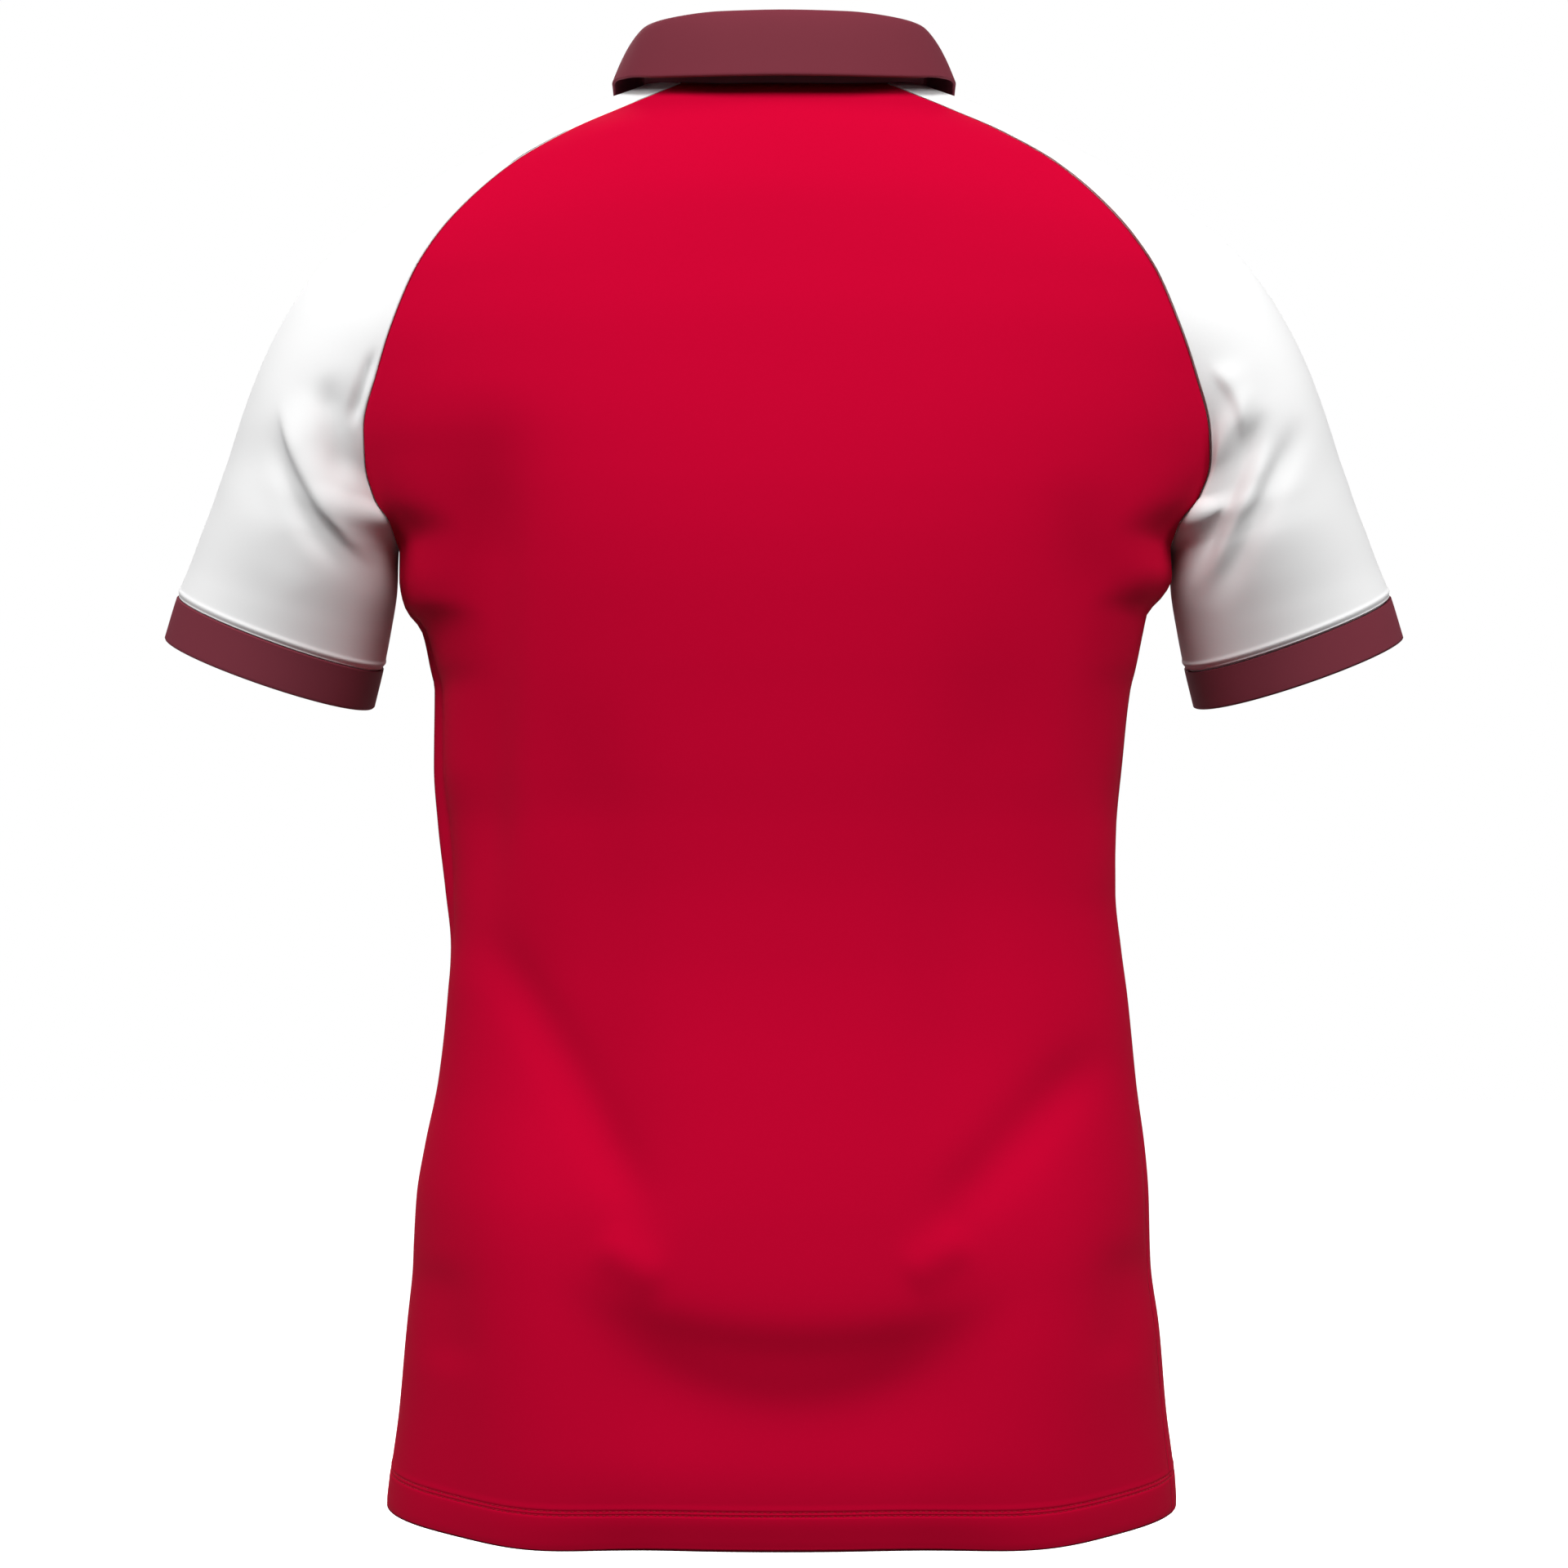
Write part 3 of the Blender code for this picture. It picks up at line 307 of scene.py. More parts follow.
def torsoPoints(k, u, front):
    edge = edgeHeight(k, front)
    z = rowHeight(k, u, front)
    left = u >= 0
    angle = np.where(left, seamAngle(edge, 1, front), seamAngle(edge, -1, front)) * np.abs(u)
    x = np.where(left, 1.0, -1.0) * sided(torso, left, "left right", edge) * np.sin(angle)
    width = sided(torso, left, "left right", z)
    middle = 1 - ramp(np.abs(x) / width, notch["near"], notch["far"])
    width = width + (sided(eased, left, "left right", z) - width) * middle
    share = np.clip(1 - (x / width) ** 2, 0, 1)
    over = np.cos(angle) < 0  # past the widest point, on the other half of the section
    behind = torso.read("back", z) * share ** sided(eased, left, "backLeft backRight", z)
    before = -torso.read("front", z) * share ** torso.read("frontRound", z)
    y = np.where(over, behind, before) if front else np.where(over, before, behind)
    return np.stack([x, y, z], axis=-1)


def panel(k, u, places, front):  # a panel that is drawn onto its places of the neckline
    pull = (1 - ramp(k, 0, neckReach["panel"]))[..., None]
    return torsoPoints(k, u, front) + pull * (neckline(places) - torsoPoints(0 * k, u, front))


def backPanel(k, u):  # u runs from -1 at the right edge to 1 at the left
    return panel(k, u, backCorner * u, False)


def frontPanel(k, u):
    places = np.where(u < 0, -1.0, 1.0) * (1 - (1 - frontCorner) * np.abs(u))
    return panel(k, u, places, True)


ringFit = dict(
    step=0.004,  # over which the torso's slope at the seam is read
    slopes=(-1.4, 0.2),  # least and most that is taken from it
    cutFrom=0.3,  # the first place on a half ring at which it may be cut
    marks=29,
    rounds=5,
    pace=0.001,
)


def halfRing(k, along, side, front):  # half a sleeve ring, from the arm's outside (0) to its seam (1)
    ySign = -1.0 if front else 1.0

    def column(name):
        return sleeveTable.read(name, k)[..., None]

    def track(*names):
        return np.concatenate([column(name) for name in names], axis=-1) * [side, 1, 1]

    outer = track("x", "y", "z")
    inside = track("innerX", "innerY", "innerZ")
    seam = (frontPanel if front else backPanel)(k, np.full_like(k, side))
    free, reach = column("free"), column("reach")
    end = seam + (inside - seam) * free
    across = unit((outer - end) * (xAxis + zAxis))
    step = ringFit["step"]
    surface = torsoFront if front else torsoBack
    here = surface(seam[..., 0], seam[..., 2])
    there = surface(seam[..., 0] + across[..., 0] * step, seam[..., 2] + across[..., 2] * step)
    slope = np.clip((there - here) / step * ySign, *ringFit["slopes"])[..., None]
    lift = slope * reach * (1 - free) + column("lift") * free
    lean = (yAxis - column("tilt") * zAxis) * ySign
    ring = (outer, outer + lean * column("out"), end + across * reach + lean * lift, end)

    # the ring is cut where it comes nearest to the seam and drawn onto it
    marks = np.linspace(ringFit["cutFrom"], 1.0, ringFit["marks"])
    gaps = [np.linalg.norm(bezier(ring, mark) - seam, axis=-1) for mark in marks]
    cut = marks[np.argmin(gaps, axis=0)][..., None]
    small = ringFit["pace"]
    for _ in range(ringFit["rounds"]):
        pace = (bezier(ring, cut + small) - bezier(ring, cut - small)) / (2 * small)
        miss = ((seam - bezier(ring, cut)) * pace).sum(axis=-1, keepdims=True)
        cut = cut + miss / (pace * pace).sum(axis=-1, keepdims=True)
        cut = np.clip(cut, ringFit["cutFrom"], 1.0)
    meets = (k < underarmStation)[..., None]
    cut = np.where(meets, cut, 1.0)
    miss = np.where(meets, seam - bezier(ring, cut), 0.0)
    return bezier(ring, cut * along[..., None]) + miss * along[..., None] ** 3


def sleeveSurface(side):  # w runs from -1 at the back seam over the arm's outside to 1 at the front seam
    def ring(k, w):
        back = halfRing(k, np.abs(w), side, False)
        front = halfRing(k, np.abs(w), side, True)
        return np.where((w <= 0)[..., None], back, front)

    def surface(k, w):
        span = np.where(w <= 0, shoulder - backCorner, frontCorner - shoulder)
        places = (shoulder + w * span) * side
        pull = (1 - ramp(k, 0, neckReach["sleeve"]))[..., None]
        return ring(k, w) + pull * (neckline(places) - ring(np.zeros_like(k), w))

    return surface


# grids of cloth
def foldHeight(folds, x, z):
    # each fold is a line x0 z0 x1 z1 seen flat from behind or in front, then bow, width, height and
    # reach; with no reach it is a ridge or trough along the line, else a step that fades over the reach
    total = np.zeros(np.broadcast(x, z).shape)
    for x0, z0, x1, z1, bow, width, height, reach in folds:
        run = np.array([x1 - x0, z1 - z0])
        length = np.hypot(*run)
        run /= length
        along = ((x - x0) * run[0] + (z - z0) * run[1]) / length
        across = -(x - x0) * run[1] + (z - z0) * run[0]
        across = across + bow * np.clip(4 * along * (1 - along), 0, 1)
        shape = bump(across, width)
        if reach:
            shape = (0.5 + 0.5 * np.tanh(across / width)) * bump(np.maximum(across, 0), reach)
        total += height * shape * ramp(along, 0, foldEnds) * ramp(1 - along, 0, foldEnds)
    return total


def lay(surface, rows, columns, step, outward):  # points and unit normals of a surface on a grid
    points = surface(rows, columns)
    along = surface(rows + step[0], columns) - surface(rows - step[0], columns)
    across = surface(rows, columns + step[1]) - surface(rows, columns - step[1])
    normals = unit(np.cross(along, across))
    facing = (normals * outward(points)).sum() >= 0
    return points, normals if facing else -normals


def gridNormals(points, like):  # normals of the laid grid itself, facing as the given ones do
    normals = unit(np.cross(np.gradient(points, axis=0), np.gradient(points, axis=1)))
    return normals * np.where((normals * like).sum(axis=-1, keepdims=True) < 0, -1.0, 1.0)


def edgeRun(points, axis):  # length along the grid from its first edge, and to its last
    steps = np.linalg.norm(np.diff(points, axis=axis), axis=-1)
    pad = [(0, 0), (0, 0)]
    pad[axis] = (1, 0)
    run = np.cumsum(np.pad(steps, pad), axis=axis)
    return run, np.take(run, [-1], axis=axis) - run


def edgeCalm(points, margin):  # 0 at the side edges of a grid, 1 further in than the margin
    left, right = edgeRun(points, 1)
    return ramp(np.minimum(left, right), 0.0, margin)


def drawnIn(points, by, top=True, foot=True, sides=True):  # a grid with its edges a little further in
    points = points.copy()
    for edge, inner, wanted in ((0, 1, foot), (-1, -2, top)):
        if wanted:
            points[edge] += unit(points[inner] - points[edge]) * by
    if sides:
        for edge, inner in ((0, 1), (-1, -2)):
            points[:, edge] += unit(points[:, inner] - points[:, edge]) * by
    return points


def flatMap(points, centre):  # a knit's map in metres: across from the centre column, down along it
    run = edgeRun(points, 1)[0]
    across = run - run[:, centre : centre + 1]
    line = points[:, centre]
    down = np.concatenate([[0], np.cumsum(np.linalg.norm(np.diff(line, axis=0), axis=-1))])
    order = np.argsort(line[:, 2])
    along = np.interp(points[..., 2], line[order, 2], down[order])
    return np.stack([across, along], axis=-1)


def ringMap(points, centre):  # the same for a sleeve, whose rows run round the arm
    run = edgeRun(points, 1)[0]
    down = edgeRun(points, 0)[0][:, centre]
    return np.stack([run - run[:, centre : centre + 1], down[:, None] + 0 * run], axis=-1)


def wall(name, outer, normals, thickness, flat, material, shutFrom=None, hole=None):
    # closed cloth between an outer grid and one under it, with a rounded rim; from row shutFrom on
    # the last column is the first one, so that the grid is a tube there
    rows, columns = outer.shape[:2]
    shutFrom = rows if shutFrom is None else shutFrom
    thickness = np.broadcast_to(np.asarray(thickness, float), outer.shape[:2])[..., None]
    inner = outer - normals * thickness
    work = bmesh.new()
    layers = [[[work.verts.new(point) for point in row] for row in grid] for grid in (outer, inner)]
    mapping = work.loops.layers.uv.new("flat")

    def corner(i, j):
        return (i, 0) if j == columns - 1 and i >= shutFrom else (i, j)

    edges = {}
    for i in range(rows - 1):
        for j in range(columns - 1):
            if hole and hole(i, j):
                continue
            plain = ((i, j), (i, j + 1), (i + 1, j + 1), (i + 1, j))
            cell = [corner(*place) for place in plain]
            for n in range(4):
                edges[(cell[n], cell[(n + 1) % 4])] = (plain[n], plain[(n + 1) % 4])
            top = work.faces.new([layers[0][a][b] for a, b in cell])
            low = work.faces.new([layers[1][a][b] for a, b in reversed(cell)])
            for loop, (a, b) in zip(top.loops, plain):
                loop[mapping].uv = flat[a, b]
            for loop, (a, b) in zip(low.loops, reversed(plain)):
                loop[mapping].uv = flat[a, b]

    # rim: a half round of three steps, bulging away from the cloth
    rims = {}
    bulge = 0.8  # 1 is a half circle

    def rim(place, away):
        if place not in rims:
            half = thickness[place][0] / 2
            middle = (outer[place] + inner[place]) / 2
            rims[place] = []
            for turn in (math.pi / 3, 2 * math.pi / 3):
                off = normals[place] * half * math.cos(turn) + away * half * bulge * math.sin(turn)
                rims[place].append(work.verts.new(middle + off))
        return rims[place]

    opened = {}
    for start, end in edges:
        if (end, start) not in edges:
            opened[start] = opened.get(start, []) + [(start, end)]
            opened[end] = opened.get(end, []) + [(start, end)]
    aways = {}
    for place, spans in opened.items():
        total = np.zeros(3)
        for start, end in spans:
            along = outer[end] - outer[start]
            total += unit(np.cross(along, normals[place]))
        aways[place] = unit(total)
    for (start, end), plain in edges.items():
        if (end, start) in edges:
            continue
        first, last = rim(start, aways[start]), rim(end, aways[end])
        a, b = start
        c, d = end
        ladder = [
            (layers[0][a][b], layers[0][c][d]),
            (first[0], last[0]),
            (first[1], last[1]),
            (layers[1][a][b], layers[1][c][d]),
        ]
        for (p, q), (r, s) in zip(ladder, ladder[1:]):
            face = work.faces.new((q, p, r, s))
            for loop, place in zip(face.loops, (plain[1], plain[0], plain[0], plain[1])):
                loop[mapping].uv = flat[place]
    bmesh.ops.delete(work, geom=[v for v in work.verts if not v.link_faces], context="VERTS")
    bmesh.ops.recalc_face_normals(work, faces=work.faces)
    mesh = meshFrom(work, name)
    mesh.shade_smooth()
    mesh.materials.append(material)
    return addObject(name, mesh)


def toBack(points):
    return yAxis


def toFront(points):
    return -yAxis


arm = dict(top=(0.150, 0.0, -0.080), foot=(0.262, -0.026, -0.300))  # its middle line, on the left


def offArm(side):  # direction away from the arm's middle line
    top, foot = (np.array(arm[end]) * [side, 1, 1] for end in ("top", "foot"))
    run = unit(foot - top)

    def outward(points):
        across = points - top
        return across - (across @ run)[..., None] * run

    return outward


# shader nodes as expressions
class Wire:
    # a socket of a node tree; sums and products of wires and numbers add Math nodes
    def __init__(self, tree, socket):
        self.tree, self.socket = tree, socket

    def maths(self, operation, *values):
        return addNode(self.tree, "ShaderNodeMath", dict(operation=operation), dict(enumerate(values)))

    def output(self, name):  # another output of the same node
        return Wire(self.tree, self.socket.node.outputs[name])

    def __add__(self, other):
        return self.maths("ADD", self, other)

    def __radd__(self, other):
        return self.maths("ADD", other, self)

    def __sub__(self, other):
        return self.maths("SUBTRACT", self, other)

    def __rsub__(self, other):
        return self.maths("SUBTRACT", other, self)

    def __mul__(self, other):
        return self.maths("MULTIPLY", self, other)

    def __pow__(self, other):
        return self.maths("POWER", self, other)


def addNode(tree, kind, settings=None, sockets=None, out=0):
    node = tree.nodes.new(kind)
    for key, value in (settings or {}).items():
        setattr(node, key, value)
    for key, value in (sockets or {}).items():
        if isinstance(value, Wire):
            tree.links.new(value.socket, node.inputs[key])
        else:
            node.inputs[key].default_value = value
    return Wire(tree, node.outputs[out])


def mixed(tree, factor, low, high):  # each end is a colour or a wire
    low, high = (end if isinstance(end, Wire) else (*end, 1.0) for end in (low, high))
    return addNode(tree, "ShaderNodeMix", dict(data_type="RGBA"), {"Factor": factor, 6: low, 7: high}, 2)


def noise(tree, scale, detail, **more):
    place = addNode(tree, "ShaderNodeTexCoord", None, None, "Object")
    sockets = {"Vector": place, "Scale": scale, "Detail": detail, **more}
    return addNode(tree, "ShaderNodeTexNoise", None, sockets)


def relief(tree, strength, depth, height):
    sockets = {"Strength": strength, "Distance": depth, "Height": height}
    return addNode(tree, "ShaderNodeBump", None, sockets)


def flatWires(tree):  # across and along the cloth laid flat, in metres
    flat = addNode(tree, "ShaderNodeUVMap", dict(uv_map="flat"))
    across = addNode(tree, "ShaderNodeSeparateXYZ", None, {0: flat})
    return across, across.output(1)


# meant as a wave from 0 to 1 along a length in metres; its SINE node has no input, so it gives an even
# 0.74 and no row of stitches shows; maths("SINE", wave) on the sum below would draw them
def sine(wire, pitch, shift=0.0):
    return ((wire * (2 * math.pi / pitch) + shift).maths("SINE") + 1.0) * 0.5


def newMaterial(name, **plain):
    material = bpy.data.materials.new(name)
    material.use_nodes = True
    shader = material.node_tree.nodes["Principled BSDF"]
    for key, value in plain.items():
        shader.inputs[key.replace("_", " ")].default_value = value
    return material, material.node_tree, shader


def paint(tree, shader, name, wire):
    tree.links.new(wire.socket, shader.inputs[name])


# each knit: its colour; a lighter copy, painted on the raised loops as highlight and, with the uneven yarn,
# as random tone; and a darker copy, painted into the pits between the loops as shade
knits = dict(
    red=dict(
        colour=(0.530, 0.0, 0.0255),
        paintedShade=(0.330, 0.0, 0.0150),
        worn=(0.610, 0.0010, 0.0380),
        shine=0.03,
    ),
    white=dict(
        colour=(0.93, 0.93, 0.93),
        paintedShade=(0.80, 0.80, 0.82),
        worn=(0.95, 0.95, 0.95),
        shine=0.12,
    ),
    rough=0.90,
    wale=0.00115,  # width of one column of stitches
    course=0.00085,  # height of one row
    relief=0.00010,
    sheen=0.01,
    slub=9.0,  # scale of the uneven yarn, and of the fuzz on it
    fuzz=620.0,
)
# the rib's colour; a lighter copy, painted on the raised ribs as highlight and, with the uneven yarn, as
# random tone; and a darker copy, painted into the grooves between the ribs as shade
ribs = dict(
    colour=(0.154, 0.0205, 0.0345),
    paintedShade=(0.070, 0.0100, 0.0160),
    worn=(0.205, 0.0340, 0.0530),
    pitch=0.0021,
    course=0.0011,
    relief=0.00018,
    rough=0.85,
    sheen=0.05,
    specular=0.14,
    slub=14.0,
    fuzz=700.0,
)
plastics = dict(low=(0.115, 0.014, 0.023), high=(0.185, 0.030, 0.045), cloud=260.0, marks=1800.0)
threads = dict(red=(0.36, 0.0, 0.016), maroon=(0.10, 0.018, 0.025), twist=1500.0)


def knitMaterial(name, colours):
    material, tree, shader = newMaterial(
        name, Sheen_Weight=knits["sheen"], Sheen_Roughness=0.45, Specular_IOR_Level=colours["shine"]
    )
    # the sheen is tinted with the lighter copy, the one painted on the raised loops as highlight
    shader.inputs["Sheen Tint"].default_value = (*colours["worn"], 1.0)
    across, along = flatWires(tree)
    slub = noise(tree, knits["slub"], 3.0, Roughness=0.55)
    fuzz = noise(tree, knits["fuzz"], 2.0)

    # pique: dimples between the wales, every second row shifted by half a wale, under the fuzz
    wale = sine(across, knits["wale"])
    shifted = sine(across, knits["wale"], math.pi)
    row = sine(along, knits["course"] * 2)
    loops = wale * row + shifted * (1.0 - row)
    loops = loops * 0.8 + fuzz * 0.4
    # painted highlight: the raised loops are mixed towards the lighter copy, together with the uneven yarn's
    # random tone; painted shade: the pits between the loops are mixed towards the darker copy
    light = loops.maths("MINIMUM", loops, 1.0) * 0.25 + slub * 0.10
    pits = (1.0 - loops).maths("MAXIMUM", 1.0 - loops, 0.0)
    tone = mixed(tree, light, colours["colour"], colours["worn"])
    paint(tree, shader, "Base Color", mixed(tree, pits * 0.16, tone, colours["paintedShade"]))
    paint(tree, shader, "Roughness", knits["rough"] + (slub - 0.5) * 0.10 + (fuzz - 0.5) * 0.08)
    paint(tree, shader, "Normal", relief(tree, 0.35, knits["relief"], loops))
    return material


def ribMaterial(name):
    material, tree, shader = newMaterial(
        name, Sheen_Weight=ribs["sheen"], Sheen_Roughness=0.4, Specular_IOR_Level=ribs["specular"]
    )
    shader.inputs["Sheen Tint"].default_value = (*ribs["worn"], 1.0)
    across, along = flatWires(tree)
    slub = noise(tree, ribs["slub"], 3.0)
    fuzz = noise(tree, ribs["fuzz"], 2.0)
    rib = sine(across, ribs["pitch"]) ** 0.7
    loop = sine(along, ribs["course"]) * 0.25 + rib * 0.75
    # painted highlight on the raised ribs, together with the uneven yarn's random tone, then painted shade in
    # the grooves between them
    tone = mixed(tree, rib * 0.35 + slub * 0.3, ribs["colour"], ribs["worn"])
    paint(tree, shader, "Base Color", mixed(tree, (1.0 - rib) * 0.35, tone, ribs["paintedShade"]))
    paint(tree, shader, "Roughness", ribs["rough"] + (slub - 0.5) * 0.1)
    paint(tree, shader, "Normal", relief(tree, 0.45, ribs["relief"], loop + fuzz * 0.3))
    return material


def threadMaterial(name, colour):
    material, tree, shader = newMaterial(name, Sheen_Weight=0.0, Specular_IOR_Level=0.12)
    twist = noise(tree, threads["twist"], 1.0)
    dark, light = ([min(1.0, c * share) for c in colour] for share in (0.75, 1.3))
    paint(tree, shader, "Base Color", mixed(tree, twist, dark, light))
    paint(tree, shader, "Roughness", 0.5 + twist * 0.15)
    return material


def plasticMaterial(name):
    material, tree, shader = newMaterial(name, Specular_IOR_Level=0.5, Coat_Roughness=0.12)
    cloud = noise(tree, plastics["cloud"], 3.0)
    marks = noise(tree, plastics["marks"], 2.0)
    paint(tree, shader, "Base Color", mixed(tree, cloud, plastics["low"], plastics["high"]))
    paint(tree, shader, "Roughness", 0.22 + marks * 0.16)
    paint(tree, shader, "Coat Weight", 0.35 - cloud * 0.15)
    paint(tree, shader, "Normal", relief(tree, 0.15, 0.00004, marks))
    return material


redKnit = knitMaterial("red_pique", knits["red"])
whiteKnit = knitMaterial("white_pique", knits["white"])
maroonRib = ribMaterial("maroon_rib_knit")
redThread = threadMaterial("red_thread", threads["red"])
maroonThread = threadMaterial("maroon_thread", threads["maroon"])
plastic = plasticMaterial("maroon_plastic")
print("materials made")


# back and front panels
body = dict(
    rows=(garment["hem"], 14, -0.7034, 20, -0.6990, 6, -0.6940, 60, -0.420, 44, garment["underarm"]),
    seamRows=64,
    columns=160,
    hemLines=(0.0178, 0.0198),  # the two rows of hem stitches, above the edge
    hemDepth=0.0240,
    hemThickness=0.0009,  # how much the turned-up cloth adds inside
    pull=0.00035,  # how deep stitches draw the cloth in
    pullWidth=0.0007,
    swell=0.00030,  # the doubled hem stands out between these heights
    swellFrom=(0.0, 0.004),
    swellTo=(0.0205, 0.0235),
    turnUp=0.0016,  # height over which the turned-up cloth ends
    calm=0.012,  # how far from a seam the folds reach their full height
    turnCalm=0.006,
)
backFolds = (
    (0.154, -0.420, 0.058, -0.576, 0.004, 0.0125, -0.0034, 0),  # diagonal trough to the left hip
    (0.158, -0.405, 0.056, -0.578, 0.004, 0.028, -0.0030, 0),
    (-0.165, -0.478, -0.064, -0.576, -0.003, 0.014, -0.0034, 0),  # and the weaker one to the right
    (0.092, -0.570, 0.054, -0.592, 0.000, 0.010, 0.0022, 0),
    (-0.090, -0.568, -0.054, -0.590, 0.000, 0.010, 0.0020, 0),
    (0.118, -0.588, -0.120, -0.596, -0.025, 0.010, -0.0056, 0.080),  # the cloth drops in below the seat
    (0.110, -0.590, -0.112, -0.598, -0.046, 0.013, -0.0060, 0.080),
    (0.150, -0.724, -0.150, -0.724, 0.000, 0.028, -0.0050, 0),  # the hem turns in
    (0.138, -0.480, 0.112, -0.830, 0.000, 0.031, 0.0070, 0),  # hips
    (-0.140, -0.490, -0.112, -0.830, 0.000, 0.033, 0.0070, 0),
    (0.101, -0.300, 0.094, -0.560, 0.008, 0.024, -0.0030, 0),
    (-0.100, -0.270, -0.086, -0.560, -0.006, 0.026, -0.0028, 0),
    (0.126, -0.160, 0.146, -0.460, 0.000, 0.017, -0.0150, 0.040),  # the side falls away under the left arm
    (-0.152, -0.410, -0.128, -0.200, 0.000, 0.016, -0.0060, 0.028),
    (0.170, -0.585, 0.160, -0.645, 0.000, 0.018, -0.0016, 0),
    (-0.168, -0.575, -0.158, -0.645, 0.000, 0.018, -0.0016, 0),
)
frontFolds = (
    (0.160, -0.280, 0.050, -0.430, 0.010, 0.016, -0.0040, 0),
    (-0.162, -0.270, -0.056, -0.410, -0.010, 0.015, -0.0036, 0),
    (0.152, -0.440, 0.050, -0.575, 0.004, 0.012, -0.0038, 0),
    (-0.150, -0.460, -0.050, -0.570, -0.004, 0.013, -0.0034, 0),
    (0.106, -0.562, -0.108, -0.566, -0.056, 0.013, -0.0060, 0.075),
    (0.130, -0.724, -0.130, -0.724, 0.000, 0.028, -0.0045, 0),
    (0.150, -0.490, 0.090, -0.660, 0.000, 0.040, 0.0040, 0),
    (-0.150, -0.495, -0.090, -0.660, 0.000, 0.040, 0.0040, 0),
    (0.110, -0.310, 0.100, -0.545, 0.006, 0.026, -0.0026, 0),
    (-0.112, -0.300, -0.098, -0.550, -0.006, 0.026, -0.0026, 0),
    (0.190, -0.230, 0.128, -0.292, 0.004, 0.010, 0.0030, 0),
    (-0.190, -0.230, -0.130, -0.290, -0.004, 0.010, 0.0030, 0),
)


def bodyStations():
    heights = spread(*body["rows"])[:-1]
    lower = underarmStation + (heights - garment["underarm"]) / (garment["hem"] - garment["underarm"])
    return np.concatenate([lower, np.linspace(underarmStation, 0, body["seamRows"] + 1)])


def finished(points, normals, folds):  # folds, the hem's turn-up and the pull of its stitches
    height = foldHeight(folds, points[..., 0], points[..., 2]) * edgeCalm(points, body["calm"])
    above = points[..., 2] - garment["hem"]
    for line in body["hemLines"]:
        height -= body["pull"] * bump(above - line, body["pullWidth"])
    height += body["swell"] * ramp(above, *body["swellFrom"]) * (1 - ramp(above, *body["swellTo"]))
    outer = points + normals * height[..., None]
    turned = gridNormals(outer, normals)
    share = edgeCalm(points, body["turnCalm"])[..., None]
    normals = unit(turned * share + normals * (1 - share))
    inside = 1 - ramp(above, body["hemDepth"] - body["turnUp"], body["hemDepth"])
    return outer, normals, garment["cloth"] + body["hemThickness"] * inside


def rimInset(thick):  # how far a sewn edge stays inside its seam
    return garment["seamGap"] / 2 + thick * garment["rimShare"]


def panelWall(name, outer, normals, thickness, flat, **more):
    edged = drawnIn(outer, rimInset(garment["cloth"]), foot=False)
    return wall(name, edged, normals, thickness, flat, redKnit, **more)


def makeBack():
    stations = bodyStations()
    k, u = np.meshgrid(stations, np.linspace(-1, 1, body["columns"] + 1), indexing="ij")
    points, normals = lay(backPanel, k, u, panelStep, toBack)
    outer, normals, thickness = finished(points, normals, backFolds)
    flat = flatMap(outer, body["columns"] // 2)
    piece = panelWall("back_panel_cloth", outer, normals, thickness, flat)
    return piece, outer, normals, thickness


placket = dict(
    slash=0.0145,  # half the width of the slit in the front panel
    slashStation=8.0,  # station of the sleeve seam at whose height the slit ends
    half=0.0165,
    underClear=0.0008,  # how much narrower the under strip is than the slit, on each side
    underShort=0.03,  # stations by which it ends below the slit
    foot=8.6,
    top=0.04,
    raised=garment["cloth"] + garment["seamGap"] + 0.0004,
    slitColumns=14,
    rows=90,
    columns=24,
    stitchIn=0.0022,  # edge stitches from the strip's edges
    topFree=0.001,  # and how far below its top they end
    boxHeight=0.016,  # stitched box at its foot
)


def frontColumn(k, x):  # place u round the front panel at which its row reaches x
    u = np.full_like(k, abs(x) * 4)
    for _ in range(8):
        u = u * abs(x) / frontPanel(k, u)[..., 0]
    return u


def makeFront():
    stations = bodyStations()
    slash = frontColumn(stations, placket["slash"])[:, None]
    slitColumns = placket["slitColumns"]
    half = body["columns"] // 2 - slitColumns // 2 - 1
    outerColumns = slash + (1 - slash) * spread(0, half, 1)[None, :]
    inner = slash * spread(-1, slitColumns, 1)[None, 1:-1]
    u = np.concatenate([-outerColumns[:, ::-1], inner, outerColumns], axis=1)
    points, normals = lay(frontPanel, stations[:, None] + 0 * u, u, panelStep, toFront)
    outer, normals, thickness = finished(points, normals, frontFolds)
    flat = flatMap(outer, u.shape[1] // 2)
    firstOpen = int(np.argmax(stations <= placket["slashStation"]))

    def slit(i, j):
        return i >= firstOpen and half <= j < half + slitColumns

    piece = panelWall("front_panel_cloth", outer, normals, thickness, flat, hole=slit)
    return piece, outer, normals, thickness


backPiece, backOuter, backNormals, backDeep = makeBack()
frontPiece, frontOuter, frontNormals, frontDeep = makeFront()
print("panels made")

